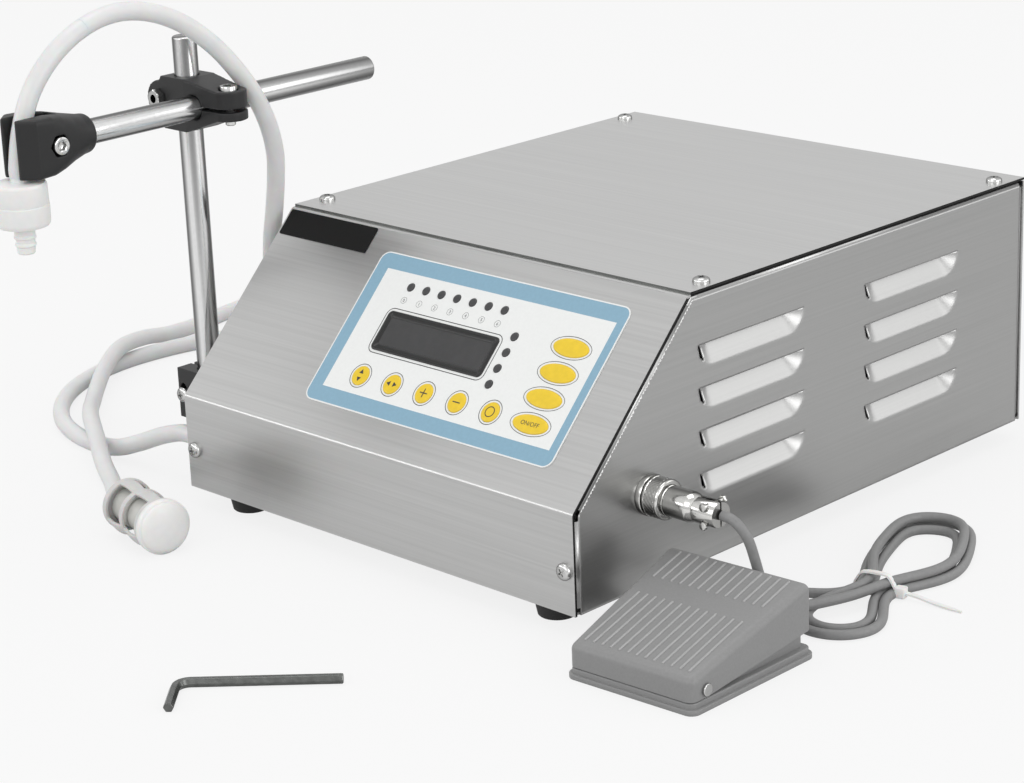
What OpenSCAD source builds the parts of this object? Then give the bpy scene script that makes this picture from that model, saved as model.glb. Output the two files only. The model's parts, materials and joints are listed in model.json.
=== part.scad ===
/* [Cabinet] */
// Width over both side panels
cab_w = 260; // [240:1:300]
// Depth from the front sheet to the back panel
cab_d = 332; // [320:1:380]
// Height of the sheet-metal case without its feet
cab_h = 127; // [122:1:150]
// Height of the upright part of the front sheet
front_h = 47; // [40:1:50]
// Depth over which the sloped keypad face rises
slope_run = 78; // [74:1:84]
// Thickness of the stainless sheet
sheet_t = 1.2; // [1:0.1:1.5]
// Outer radius of the folded edges
bend_r = 2.4; // [2:0.1:3]
// Width of the flanges folded inwards from the side panels
flange_w = 12; // [10:0.5:14]
// Height of the lips folded up from the base pan
lip_h = 7; // [4:0.5:7.5]
// Seam between neighbouring sheets
seam = 0.6; // [0.4:0.1:0.9]

/* [Feet] */
// Height of the rubber feet
foot_h = 10; // [9:0.5:14]
// Radius of a foot at the case
foot_top_r = 11; // [10:0.5:13]
// Radius of a foot on the table
foot_low_r = 9; // [8:0.5:10]
// Distance of the feet from the case sides
foot_in_x = 26; // [24:1:34]
// Distance of the feet from the case front and back
foot_in_y = 16; // [15:1:24]
// Radius of the screw recess under a foot
recess_r = 4.6; // [4.5:0.1:5.5]
// Depth of the screw recess under a foot
recess_d = 6.4; // [6:0.1:7]

/* [Screws] */
// Shank radius of the case screws
screw_r = 2; // [1.8:0.1:2.2]
// Head radius of the case screws
head_r = 4; // [3.6:0.1:4.3]
// Head height of the case screws
head_h = 2.4; // [2:0.1:2.6]
// Shank length of the case screws
screw_l = 8; // [6:0.5:12]
// Distance of the top screws from the case sides
screw_in_x = 7; // [6:0.5:8]
// Distance of the top screws from the ends of the top cover
screw_in_y = 16; // [14:1:24]
// Height of the front screws above the case bottom
front_screw_z = 20; // [16:1:26]

/* [Louvres] */
// Length of a louvre
louvre_l = 75.5; // [60:0.5:78]
// Height of a louvre
louvre_h = 10.5; // [8:0.5:12]
// Depth that a louvre is pressed inwards
louvre_depth = 5; // [3:0.5:6]
// Distance between louvres
louvre_pitch = 20; // [16:0.5:21]
// Distance of the front column from the front of the case
louvre_y1 = 82; // [80:1:84]
// Distance of the rear column from the front of the case
louvre_y2 = 201.5; // [196:0.5:206]
// Height of the uppermost louvre edge
louvre_z = 101.5; // [98:0.5:104]

/* [Keypad] */
// Width of the keypad overlay
overlay_w = 160; // [158:1:166]
// Height of the keypad overlay along the slope
overlay_h = 82; // [80:1:86]
// Left edge of the overlay
overlay_x = 76; // [74:1:80]
// Lower edge of the overlay above the fold
overlay_s = 16.5; // [15:0.5:18]
// Thickness of the overlay film
overlay_t = 0.4; // [0.3:0.1:0.6]
// Radius of a round key
key_r = 5; // [4.5:0.1:5.5]
// Distance between the round keys
key_pitch = 21.3; // [20.5:0.1:22]
// Length of an oval key
oval_l = 21; // [18:0.5:23]
// Width of an oval key
oval_w = 9; // [8:0.5:10]
// Distance between the oval keys
oval_pitch = 13.1; // [12.5:0.1:13.5]
// Travel of a key
key_travel = 0.4; // [0.3:0.1:0.5]
// Gap round a key
key_gap = 0.15; // [0.1:0.05:0.25]
// Distance from the slope's outer face down to the control board
board_n = 10.4; // [10:0.1:14]
// Width of the display window
window_w = 67; // [60:1:68]
// Height of the display window
window_h = 14.3; // [12:0.1:16]
// Lamp radius
lamp_r = 2.2; // [1.5:0.1:2.5]

/* [Stand] */
// Radius of the stand rod and of the arm rod
rod_r = 6; // [5:0.5:6]
// Distance of the stand rod from the left side of the case
stand_x = 25; // [24:0.5:28]
// Distance of the stand rod from the front of the case
stand_y = 36.5; // [30:0.5:44]
// Height of the top of the stand rod above the case bottom
stand_top = 216; // [214:1:240]
// Height of the arm rod above the case bottom
arm_z = 184; // [180:1:186]
// Sideways distance between the stand rod and the arm rod
arm_dx = 15; // [14.5:0.5:16]
// Length of the arm rod
arm_l = 196; // [180:1:210]
// Distance that the arm rod reaches past the front of the case
arm_front = 55; // [50:1:60]
// Radial clearance of the rods in their clamps
rod_gap = 0.05; // [0.03:0.01:0.08]
// Height of the clamp bodies
clamp_h = 26; // [24:0.5:28]
// Width of the clamp bodies
clamp_w = 20; // [18:0.5:22]

/* [Hoses] */
// Outer radius of the silicone hoses
hose_r = 4.5; // [4:0.1:4.6]
// Radius of the filling nozzle body
valve_r = 12.5; // [11:0.5:13]
// Height of the filling nozzle body
valve_h = 21; // [18:0.5:24]
// Radius of the filling nozzle tip
tip_r = 4.8; // [4:0.1:5.2]
// Length of the filling nozzle tip
tip_l = 13; // [10:0.5:16]
// Radius of the suction filter
filter_r = 13.5; // [12:0.5:14]
// Length of the suction filter cage
filter_l = 38; // [34:1:42]

/* [Pedal] */
// Width of the pedal at its hinge end
pedal_wf = 64; // [60:1:70]
// Width of the pedal at its raised end
pedal_wb = 74; // [70:1:80]
// Length of the treadle
pedal_l = 77; // [74:1:79]
// Height of the treadle at its hinge end
pedal_zf = 15.5; // [15:0.5:18]
// Height of the treadle at its raised end
pedal_zb = 34.5; // [32:0.5:38]
// Wall thickness of the pedal mouldings
pedal_wall = 2.2; // [1.8:0.1:2.6]
// Turn of the pedal on the table
pedal_turn = 3.5; // [0:0.5:6]
// Radius of the hinge pin
pin_r = 2; // [1.8:0.1:2.4]
// Radius of the pedal cord
cord_r = 2.3; // [2:0.1:2.4]

/* [Plug] */
// Radius of the threaded panel socket
socket_r = 8; // [7:0.1:8.4]
// Outer radius of the coupling ring
ring_r = 9.3; // [9:0.1:10]
// Radius of the plug barrel
barrel_r = 7; // [6.2:0.1:7.2]
// Distance of the socket from the front of the case
socket_y = 48.5; // [44:0.5:54]
// Height of the socket above the case bottom
socket_z = 42.5; // [40:0.5:48]

/* [Hex key] */
// Size across the flats
hex_af = 4; // [3:0.5:6]
// Length of the long arm
hex_long = 70; // [60:1:96]
// Length of the short arm
hex_short = 25; // [20:1:36]

/* [Hidden] */
$fn = 48;
slope_a = atan2(cab_h - front_h, slope_run);
slope_len = norm([slope_run, cab_h - front_h]);
// Outline of the case seen from its side, counter-clockwise from the front bottom corner
outline = [[0, 0], [cab_d, 0], [cab_d, cab_h], [slope_run, cab_h], [0, front_h]];
fit = 0.05;
// Gap round a foot screw's head
seat_gap = 0.2;
// Overlap between a flat stretch of sheet and its fold
join = 0.02;
// Round keys
key_x = overlay_x + 27.8;
key_s = overlay_s + 17.8;
key_proud = 0.5;
key_low = -1.6;
// Oval keys, lowest first
oval_x = overlay_x + 138;
oval_s = overlay_s + 17.4;
// Display
window_x = overlay_x + 60.5;
window_s = overlay_s + 42.5;
lcd_w = 80;
lcd_h = 36;
bezel_w = 72;
bezel_h = 24;
// Lamps
lamp_x = overlay_x + 28.5;
lamp_pitch = 10.3;
lamp_s = overlay_s + 66.6;
state_x = overlay_x + 103.8;
state_s = overlay_s + 30.3;
state_pitch = 8.35;
board_t = 1.6;
switch_h = 4;
foot_nut_af = 7;
foot_nut_h = 3.2;
front_screw_x = 5.5;
// Lamps: one row of seven, and one column of four
lamp_proud = 0.5;
lamps = concat(
    [for (i = [0:6]) [lamp_x + i * lamp_pitch, lamp_s]],
    [for (i = [0:3]) [state_x, state_s + i * state_pitch]]
);
key_rim = 0.8;
switch_w = 6;
lcd_up = 3.2;
board_w = 144;
board_h = 74;
// Blank label
label_x = 1.2;
label_w = 62.8;
label_h = 14.2;
label_s = slope_len - label_h - 2.9;
// Ports
inlet_y = 21;
inlet_z = 15.5;
outlet_y = 75;
outlet_z = 62;
port_r = 6;
port_flange_r = 7.2;
port_out = 12;
port_in = 14;
port_flange_t = 3;
elbow_out = 17;
elbow_up = 14;
// Pump
pump_x = 70;
pump_y = 118;
pump_z = 34;
pump_side = 44;
pump_deep = 28;
motor_r = 18;
motor_l = 58;
shaft_r = 2;
shaft_in = 20;
cam_r = 8;
cam_off = 2;
saddle_t = 4;
saddle_in = 10;
barb_r = 3.2;
barb_l = 10;
barb_dx = 10;
barb_dz = 10;
tube_r = 4.5;
// Power supply
supply = [78, 110, 36];
supply_at = [cab_w - supply[0] - 32, cab_d - supply[1] - 26];
terminal_d = 12;
// Back panel fittings
inlet_at = [cab_w - 60, 34];
iec = [27.6, 19.6, 22];
iec_floor = 6;
iec_wall = 1.7;
rim_w = 3;
rim_t = 2;
pin_dx = 7;
pin_w = 2;
rocker_at = [inlet_at[0] - 42, inlet_at[1]];
rocker_well = [12, 18.8];
rocker_size = [14.4, 16, 21.2];
rocker_a = 12;
rocker_in = 4;
rocker_pin_r = 1.2;
vent_n = 8;
vent_x = 50;
vent_z = 60;
vent_pitch = 8;
vent_w = 4;
vent_h = 40;
// Stand
bracket_out = 13.5;
bracket_low = 21;
bolt_r = 2.5;
bolt_head_r = 4.25;
bolt_head_h = 5;
nut_af = 8;
nut_h = 4;
slit = 1.5;
bolt_off = rod_r + bolt_r + 1.6;
arm_x = arm_dx - stand_x;
ear_x = 16;
ear_r = 8.7;
ear_h = 14.5;
ear_up = 2;
ear_sink = 3;
// Nozzle clamp, measured from the end of the arm rod
jaw_gap = hose_r + 0.1;
jaw_h = 28;
jaw_w = 13.2;
jaw_front = 25;
jaw_bolt = 6;
hose_front = 21.5;
grip_l = 18;
grip_r = rod_r + 2.6;
valve_drop = jaw_h / 2 + 1.5;
neck_l = 2.5;
// Plug
socket_out = 6;
plug_l = 23;
plug_nose = 4;
ring_seat = 4;
grip_out = 13;
// Pedal
pedal_at = [187, -195];
pedal_base_t = 5;
pin_y = 9;
pin_z = 9;
gland_x = -20;
gland_z = 9.5;
gland_out = 84;
gland_in = 14;
gland_gap = 1.3;
// Angle through which the treadle is pressed
press_a = 4.5;
gland_r = 4.2;
lug_x = 22;
lug_t = 5;
lug_r = 4.2;
boss_y = 50;
boss_r = 3;
boss_low = 17.5;
boss_travel = 3.5;
spring_y = 62;
spring_r = 4.5;
treadle_low = 5.5;
treadle_back = 13;
// Height of the notch that lets the treadle pass the gland
gland_notch = gland_z + gland_r + (pedal_l - pin_y) * tan(press_a) + gland_gap;
// Filter
filter_at = [-128, -207.5, filter_r];
filter_heading = -12.5;
filter_slots = 12;
slot_w = 3.4;
cap_rim = 3;
cap_dome = 5;
// Radius of the sphere that gives the cap its dome
dome_r = (pow(filter_r, 2) + pow(cap_dome, 2)) / (2 * cap_dome);
// Hex key
hex_at = [60, -284.6];
hex_bend = 6;
hex_turn = 43;
// Route of the inlet hose from its port to the filter
inlet_route = [
    [-142.3, -145, 25.5], [-148, -145, 25.5], [-162, -144.6, 24.7], [-179, -144.5, 19.5],
    [-197, -145.5, 12], [-215, -147.5, 6],
    [-236, -148, 4.5], [-259, -143.5, 4.5], [-281, -133.5, 4.5], [-301, -118, 4.5], [-317, -98.5, 4.5],
    [-328, -75.5, 4.5], [-334, -50, 4.5], [-334, -24, 4.5], [-329, 2, 4.5], [-318, 28, 4.5],
    [-305, 52, 4.5], [-294, 77, 4.5], [-290, 101, 4.5], [-295, 124.5, 4.5], [-309.5, 140.5, 4.5],
    [-329, 146.5, 4.5], [-348.5, 140.5, 4.5], [-363, 124.5, 4.5], [-368.5, 101, 4.5], [-367, 76, 4.5],
    [-363, 50, 4.5], [-357.5, 24, 4.5], [-350.5, -4, 7], [-342.5, -29, 12], [-332.5, -53, 14.2],
    [-319.5, -74, 10.5], [-303.5, -92.5, 6.5], [-284.5, -110, 6.5], [-264.5, -126, 11], [-244, -141, 14.4],
    [-222, -154.5, 12.5], [-199, -168, 7], [-175, -181, 6], [-154, -194.5, 9], [-135, -205.8, 13.5],
    [-128.4, -207.4, 13.5]
];
// Route of the outlet hose from its port over the arch to the nozzle
outlet_route = [
    [-147, -91, 86], [-147, -91, 101], [-145.5, -91, 117], [-142, -91, 133], [-137.5, -92.5, 149],
    [-132.5, -96, 164.5], [-129, -102, 180], [-128, -109.5, 195], [-129.5, -119, 210], [-133, -130.5, 224.5],
    [-136.5, -146, 237], [-139, -163.5, 244.5], [-140, -182, 246.5], [-140, -200.5, 242.5],
    [-140, -217.5, 233], [-140, -231, 219], [-140, -239, 202], [-140, -242.5, 186], [-140, -242.5, 181.3]
];
// Route of the pedal cord from the plug to the hank, and from the pedal to the hank
plug_route = [
    [172, -117.5, 52.5], [177, -117.5, 52], [182, -117, 48.8], [185, -115.5, 43], [186.5, -113.5, 34.5],
    [187.5, -110.5, 24], [188.5, -105, 13.5], [189, -96, 6]
];
pedal_route = [
    [161.9, -112.1, 9.5], [161.6, -107, 9.4], [161.4, -100.5, 8], [161.6, -92, 5.2], [164, -82, 2.5],
    [169, -73.5, 2.3],
    [177, -67, 2.3], [187, -63, 2.3]
];
// Hank of the pedal cord, as x, y and radius: near loop, waist at the tie, belly and far loop
hank = [[203, -81, 25], [199, -46, 11], [196, -15, 24], [179, 24, 20]];
hank_h = 14;
tie_turn = 15;
tie_w = 3.6;
tie_t = 1.2;
tie_gap = 0.2;
tie_half = hank[1][2] - tie_t;
tie_head = 5;
tie_tail = 28;
steel = "silver";

// Moves cabinet coordinates, from its left front bottom corner, to the part's frame
module cab() {
    translate([-cab_w / 2, -cab_d / 2, foot_h]) children();
}

// Local x to the right, y up the slope from the fold, z out of the sloped face
module slope() {
    cab() translate([0, 0, front_h]) rotate([slope_a, 0, 0]) children();
}

// Sweeps a side view, drawn as y and z, along x
module along_x(l) {
    rotate([90, 0, 90]) linear_extrude(l) children();
}

// Turns a piece built along z so that it lies along x
module lay_x() {
    rotate([0, 90, 0]) children();
}

// Turns a piece built along z so that it lies along y
module lay_y() {
    rotate([-90, 0, 0]) children();
}

module rounded_rect(w, h, r) {
    for (x = [r, w - r], y = [r, h - r]) translate([x, y]) circle(r);
    translate([r, 0]) square([w - 2 * r, h]);
    translate([0, r]) square([w, h - 2 * r]);
}

module centred_rect(w, h, r) {
    translate([-w / 2, -h / 2]) rounded_rect(w, h, r);
}

function oval(l, w) = [for (i = [0:35]) [l / 2 * cos(i * 10), w / 2 * sin(i * 10)]];

// Inward normal of side i of a counter-clockwise outline
function side_normal(p, i) =
    let (d = p[(i + 1) % len(p)] - p[i])
    [-d[1], d[0]] / norm(d);

function inset_corner(p, by, i) =
    let (
        j = (i + len(p) - 1) % len(p),
        a = side_normal(p, j),
        b = side_normal(p, i),
        ca = a * p[i] + by[j],
        cb = b * p[i] + by[i],
        det = a[0] * b[1] - a[1] * b[0]
    )
    [(ca * b[1] - cb * a[1]) / det, (a[0] * cb - b[0] * ca) / det];

// Outline with each side moved inwards by its own distance
function inset(p, by) = [for (i = [0:len(p) - 1]) inset_corner(p, by, i)];

function unit(v) = v / norm(v);

// Direction of a route at its point i
function heading(r, i) = unit(r[min(i + 1, len(r) - 1)] - r[max(i - 1, 0)]);

// Round tube along a route, as one closed solid
module tube(route, radius, sides, ref) {
    n = len(route);
    u0 = unit(cross(ref, heading(route, 0)));
    frames = carry(route, [u0], 1);
    points = [
        for (i = [0:n - 1]) let (d = heading(route, i), v = cross(d, frames[i]))
        for (k = [0:sides - 1]) let (t = 360 * k / sides)
        route[i] + radius * (cos(t) * frames[i] + sin(t) * v)
    ];
    faces = concat(
        [[for (k = [0:sides - 1]) k]],
        [
            for (i = [0:n - 2], k = [0:sides - 1])
            let (a = i * sides + k, b = i * sides + (k + 1) % sides)
            each [[a, a + sides, b], [b, a + sides, b + sides]]
        ],
        [[for (k = [sides - 1:-1:0]) (n - 1) * sides + k]]
    );
    polyhedron(points, faces);
}

// Carries the first sideways direction along the route without twist
function carry(route, done, i) =
    i == len(route) ? done :
    let (d = heading(route, i), last = done[i - 1], u = unit(last - (last * d) * d))
    carry(route, concat(done, [u]), i + 1);

// Sweeps a drawing of x and z along y
module along_y(l) {
    translate([0, l, 0]) rotate([90, 0, 0]) linear_extrude(l) children();
}

// Cross-section of a fold between two directions, centred on its bend axis
module fold_section(a0, a1) {
    reach = 2 * bend_r;
    intersection() {
        difference() {
            circle(bend_r);
            circle(bend_r - sheet_t);
        }
        polygon([[0, 0], for (a = [a0, (a0 + a1) / 2, a1]) reach * [cos(a), sin(a)]]);
    }
}

// Places of the case screws, with z pointing out of each head
module at_top_screws() {
    cab()
        for (x = [screw_in_x, cab_w - screw_in_x], y = [slope_run + screw_in_y, cab_d - screw_in_y])
            translate([x, y, cab_h]) children();
}

module at_front_screws() {
    cab()
        for (x = [front_screw_x, cab_w - front_screw_x])
            translate([x, 0, front_screw_z]) rotate([90, 0, 0]) children();
}

module at_back_screws() {
    cab()
        for (x = [screw_in_x, cab_w - screw_in_x], z = [front_screw_z, cab_h - front_screw_z])
            translate([x, cab_d, z]) rotate([-90, 0, 0]) children();
}

module at_feet() {
    cab()
        for (x = [foot_in_x, cab_w - foot_in_x], y = [foot_in_y, cab_d - foot_in_y])
            translate([x, y, 0]) children();
}

// Screws that hold the stand bracket, with their heads inside the case
module at_bracket_screws() {
    cab()
        for (z = [bracket_low + 6, bracket_low + clamp_h - 6])
            translate([sheet_t, stand_y, z]) rotate([0, 90, 0]) children();
}

module screw_hole() {
    cylinder(r = screw_r + fit, h = 4 * screw_l, center = true);
}

module pan_screw(l) {
    cylinder(r = head_r, h = head_h * 0.6);
    translate([0, 0, head_h * 0.6]) cylinder(r1 = head_r, r2 = head_r * 0.7, h = head_h * 0.4);
    translate([0, 0, -l]) cylinder(r = screw_r, h = l);
}

// Socket head bolt, its head resting on z = 0
module socket_bolt(l) {
    difference() {
        cylinder(r = bolt_head_r, h = bolt_head_h);
        translate([0, 0, bolt_head_h - bolt_r]) cylinder(r = hex_af / sqrt(3), h = bolt_head_h, $fn = 6);
    }
    translate([0, 0, -l]) cylinder(r = bolt_r, h = l);
}

module hex_nut(af, h) {
    cylinder(r = af / sqrt(3), h = h, $fn = 6);
}

module base_pan() {
    lip_end = 2 * sheet_t + bend_r;
    color(steel)
        difference() {
            cab() {
                translate([sheet_t, sheet_t, 0]) cube([cab_w - 2 * sheet_t, cab_d - 2 * sheet_t, sheet_t]);
                for (x = [sheet_t, cab_w - 2 * sheet_t])
                    translate([x, lip_end, 0]) cube([sheet_t, cab_d - 2 * lip_end, lip_h]);
                for (y = [sheet_t, cab_d - 2 * sheet_t])
                    translate([flange_w + seam, y, 0])
                        cube([cab_w - 2 * (flange_w + seam), sheet_t, lip_h]);
            }
            at_feet() screw_hole();
        }
}

// Flange that a side panel turns inwards along side i of the case outline
module side_flange(i) {
    line = inset(outline, [0, sheet_t, sheet_t, sheet_t, sheet_t]);
    a = line[i];
    b = line[(i + 1) % 5];
    d = unit(b - a);
    n = side_normal(line, i);
    trim = bend_r + 1;
    multmatrix([[0, 1, 0, 0], [n[0], 0, d[0], a[0]], [n[1], 0, d[1], a[1]], [0, 0, 0, 1]])
        translate([0, 0, trim])
            linear_extrude(norm(b - a) - 2 * trim) {
                translate([bend_r, bend_r]) fold_section(180, 270);
                translate([0, bend_r]) square([sheet_t, flange_w - bend_r]);
            }
}

// Louvre from the lower front corner of its opening, pressed towards x
module louvre() {
    r = (pow(louvre_depth, 2) + pow(louvre_h, 2)) / (2 * louvre_depth);
    along_y(louvre_l)
        intersection() {
            square([louvre_depth + sheet_t, louvre_h]);
            translate([r, 0])
                difference() {
                    circle(r);
                    circle(r - sheet_t);
                }
        }
    for (y = [0, louvre_l - sheet_t])
        translate([0, y, 0])
            along_y(sheet_t)
                difference() {
                    square([louvre_depth, louvre_h]);
                    translate([r, 0]) circle(r - sheet_t);
                }
}

module at_louvres(columns) {
    for (y = columns, k = [0:3]) translate([0, y, louvre_z - louvre_h - k * louvre_pitch]) children();
}

// Side panel with its outer face at x = 0
module side_sheet(columns) {
    edge = sheet_t + bend_r;
    difference() {
        union() {
            along_x(sheet_t) polygon(inset(outline, [0, edge, edge, edge, edge]));
            for (i = [1:4]) side_flange(i);
        }
        at_louvres(columns) translate([-sheet_t, 0, 0]) cube([3 * sheet_t, louvre_l, louvre_h]);
    }
    at_louvres(columns) louvre();
}

module case_screw_holes() {
    at_top_screws() screw_hole();
    at_front_screws() screw_hole();
    at_back_screws() screw_hole();
}

module left_side_panel() {
    color(steel)
        difference() {
            cab() side_sheet([louvre_y2]);
            case_screw_holes();
            at_bracket_screws() screw_hole();
            for (p = [[inlet_y, inlet_z], [outlet_y, outlet_z]])
                cab() translate([-1, p[0], p[1]]) lay_x() cylinder(r = port_r + 2 * fit, h = 3 * sheet_t);
        }
}

module right_side_panel() {
    color(steel)
        difference() {
            cab() translate([cab_w, 0, 0]) mirror([1, 0, 0]) side_sheet([louvre_y1, louvre_y2]);
            case_screw_holes();
            cab()
                translate([cab_w - 2 * sheet_t, socket_y, socket_z])
                    lay_x() cylinder(r = socket_r + 2 * fit, h = 3 * sheet_t);
        }
}

// Holes that the keys, lamps and display need in the sloped face, enlarged by gap
module keypad_holes(gap) {
    for (i = [0:4]) translate([key_x + i * key_pitch, key_s]) circle(key_r + gap);
    for (i = [0:3])
        translate([oval_x, oval_s + i * oval_pitch])
            polygon(oval(oval_l + 2 * gap, oval_w + 2 * gap));
    for (p = lamps) translate(p) circle(lamp_r + gap);
}

module front_panel() {
    low_k = bend_r * tan((90 - slope_a) / 2);
    top_k = bend_r * tan(slope_a / 2);
    top_s = slope_len - sheet_t / sin(slope_a);
    top_y = top_s * cos(slope_a) + top_k;
    in_x = flange_w + seam;
    color(steel)
        difference() {
            cab() {
                along_x(cab_w) {
                    square([sheet_t, front_h - low_k + join]);
                    translate([bend_r, front_h - low_k]) fold_section(90 + slope_a, 180);
                    translate([0, front_h])
                        rotate(slope_a)
                            translate([low_k - join, -sheet_t])
                                square([top_s - top_k - low_k + 2 * join, sheet_t]);
                }
                translate([in_x, 0, 0])
                    along_x(cab_w - 2 * in_x) {
                        translate([top_y, cab_h - sheet_t - bend_r]) fold_section(90, 90 + slope_a);
                        translate([top_y - join, cab_h - 2 * sheet_t]) square([flange_w, sheet_t]);
                    }
            }
            case_screw_holes();
            slope()
                translate([0, 0, -2 * sheet_t])
                    linear_extrude(3 * sheet_t) {
                        keypad_holes(key_gap);
                        translate([window_x, window_s])
                            square([bezel_w + 2 * key_gap, bezel_h + 2 * key_gap], center = true);
                    }
        }
}

module top_cover() {
    color(steel)
        difference() {
            cab()
                translate([0, slope_run + seam, cab_h - sheet_t])
                    cube([cab_w, cab_d - slope_run - seam, sheet_t]);
            at_top_screws() screw_hole();
        }
}

module back_panel() {
    color(steel)
        difference() {
            cab() translate([0, cab_d - sheet_t, 0]) cube([cab_w, sheet_t, cab_h - sheet_t - seam]);
            at_back_screws() screw_hole();
            at_back(inlet_at) cube([iec[0] + 2 * fit, 4 * sheet_t, iec[1] + 2 * fit], center = true);
            at_back(rocker_at) cube(rocker_size + [2 * fit, 4 * sheet_t, 2 * fit], center = true);
            for (i = [0:vent_n - 1])
                at_back([vent_x + i * vent_pitch, vent_z])
                    cube([vent_w, 4 * sheet_t, vent_h], center = true);
        }
}

// Place on the back panel's outer face, given across and up
module at_back(p) {
    cab() translate([p[0], cab_d, p[1]]) children();
}

module case_screws() {
    color("gainsboro") {
        at_top_screws() pan_screw(screw_l);
        at_front_screws() pan_screw(screw_l);
        at_back_screws() pan_screw(screw_l);
        at_bracket_screws() pan_screw(screw_l);
        at_bracket_bolt() pan_screw(clamp_w - 2);
    }
}

module rubber_feet() {
    color("black")
        at_feet()
            difference() {
                translate([0, 0, -foot_h]) cylinder(r1 = foot_low_r, r2 = foot_top_r, h = foot_h);
                translate([0, 0, -foot_h]) cylinder(r = recess_r, h = recess_d - head_h - seat_gap);
                translate([0, 0, -foot_h]) cylinder(r = head_r + seat_gap, h = recess_d);
                screw_hole();
            }
}

module foot_screws() {
    color("gainsboro")
        at_feet() {
            translate([0, 0, recess_d - foot_h])
                mirror([0, 0, 1]) pan_screw(foot_h - recess_d + sheet_t + foot_nut_h + 1);
            translate([0, 0, sheet_t]) hex_nut(foot_nut_af, foot_nut_h);
        }
}

module keypad_overlay() {
    color("lightsteelblue")
        slope()
            linear_extrude(overlay_t)
                difference() {
                    translate([overlay_x, overlay_s]) rounded_rect(overlay_w, overlay_h, 5);
                    keypad_holes(key_gap);
                    translate([window_x, window_s])
                        square([window_w + 2 * key_gap, window_h + 2 * key_gap], center = true);
                }
}

module blank_label() {
    color("black")
        slope() translate([label_x, label_s, 0]) linear_extrude(overlay_t) rounded_rect(label_w, label_h, 1);
}

module lcd_module() {
    color("darkslategray")
        slope()
            translate([window_x, window_s, 0]) {
                translate([0, 0, -board_n + lcd_up + board_t / 2])
                    cube([lcd_w, lcd_h, board_t], center = true);
                for (x = [-1, 1], y = [-1, 1])
                    translate([x * (lcd_w / 2 - 3), y * (lcd_h / 2 - 3), -board_n])
                        cylinder(r = 1.8, h = lcd_up);
                translate([-bezel_w / 2, -bezel_h / 2, -board_n + lcd_up + board_t])
                    cube([bezel_w, bezel_h, board_n - lcd_up - board_t - key_gap]);
                translate([-window_w / 2, -window_h / 2, -2 * key_gap])
                    cube([window_w, window_h, 2 * key_gap + overlay_t / 2]);
            }
}

module indicator_lamps() {
    color("whitesmoke")
        slope() for (p = lamps) translate([p[0], p[1], -board_n]) {
            cylinder(r = lamp_r, h = board_n + overlay_t + lamp_proud - lamp_r / 2);
            translate([0, 0, board_n + overlay_t + lamp_proud - lamp_r / 2])
                cylinder(r1 = lamp_r, r2 = lamp_r * 0.5, h = lamp_r / 2);
        }
}

// Key cap at rest: its shape through the sheet, with a rim beneath
module round_key(i) {
    color("gold")
        slope()
            translate([key_x + i * key_pitch, key_s, 0]) {
                translate([0, 0, key_low]) cylinder(r = key_r, h = key_proud - key_low);
                translate([0, 0, key_low]) cylinder(r = key_r + key_rim, h = -key_low - sheet_t - fit);
            }
}

module oval_key(i) {
    color("gold")
        slope()
            translate([oval_x, oval_s + i * oval_pitch, key_low]) {
                linear_extrude(key_proud - key_low) polygon(oval(oval_l, oval_w));
                linear_extrude(-key_low - sheet_t - fit)
                    polygon(oval(oval_l + 2 * key_rim, oval_w + 2 * key_rim));
            }
}

module key_up_down() {
    round_key(0);
}

module key_left_right() {
    round_key(1);
}

module key_plus() {
    round_key(2);
}

module key_minus() {
    round_key(3);
}

module key_zero() {
    round_key(4);
}

module key_power() {
    oval_key(3);
}

module key_clear() {
    oval_key(2);
}

module key_settings() {
    oval_key(1);
}

module key_run() {
    oval_key(0);
}

module key_switches() {
    plunger = board_n + key_low - key_travel - fit;
    places = concat(
        [for (i = [0:4]) [key_x + i * key_pitch, key_s]],
        [for (i = [0:3]) [oval_x, oval_s + i * oval_pitch]]
    );
    color("dimgray")
        slope() for (p = places) translate([p[0], p[1], -board_n]) {
            translate([-switch_w / 2, -switch_w / 2, 0]) cube([switch_w, switch_w, switch_h]);
            cylinder(r = switch_w * 0.29, h = plunger);
        }
}

module control_board() {
    color("darkgreen")
        slope()
            translate([overlay_x + overlay_w / 2, overlay_s + overlay_h / 2, 0]) {
                translate([-board_w / 2, -board_h / 2, -board_n - board_t]) cube([board_w, board_h, board_t]);
                for (x = [-1, 1], y = [-1, 1])
                    translate([x * (board_w / 2 - 4), y * (board_h / 2 - 4), -board_n])
                        cylinder(r = 3, h = board_n - sheet_t);
            }
}

module power_supply() {
    color("silver")
        cab()
            translate([supply_at[0], supply_at[1], sheet_t]) {
                cube(supply);
                translate([supply[0] / 2 - 25, -terminal_d, 0]) cube([50, terminal_d, terminal_d]);
            }
}

// Local y along the motor axis, starting at the front of the pump head
module pump() {
    cab() translate([pump_x, pump_y, pump_z]) children();
}

module pump_head() {
    chamber = pump_deep - 10;
    color("darkslategray")
        pump()
            difference() {
                union() {
                    translate([-pump_side / 2, 0, -pump_side / 2]) cube([pump_side, pump_deep, pump_side]);
                    for (x = [-1, 1])
                        translate([x * barb_dx, -barb_l, barb_dz])
                            lay_y() cylinder(r = barb_r, h = barb_l + 1);
                }
                translate([0, 5, 0]) lay_y() cylinder(r = cam_r + cam_off + 1, h = chamber);
                lay_y() cylinder(r = shaft_r + fit, h = pump_deep + 1);
                translate([0, -1, 0]) lay_y() cylinder(r = shaft_r + 1, h = 5);
            }
}

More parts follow.
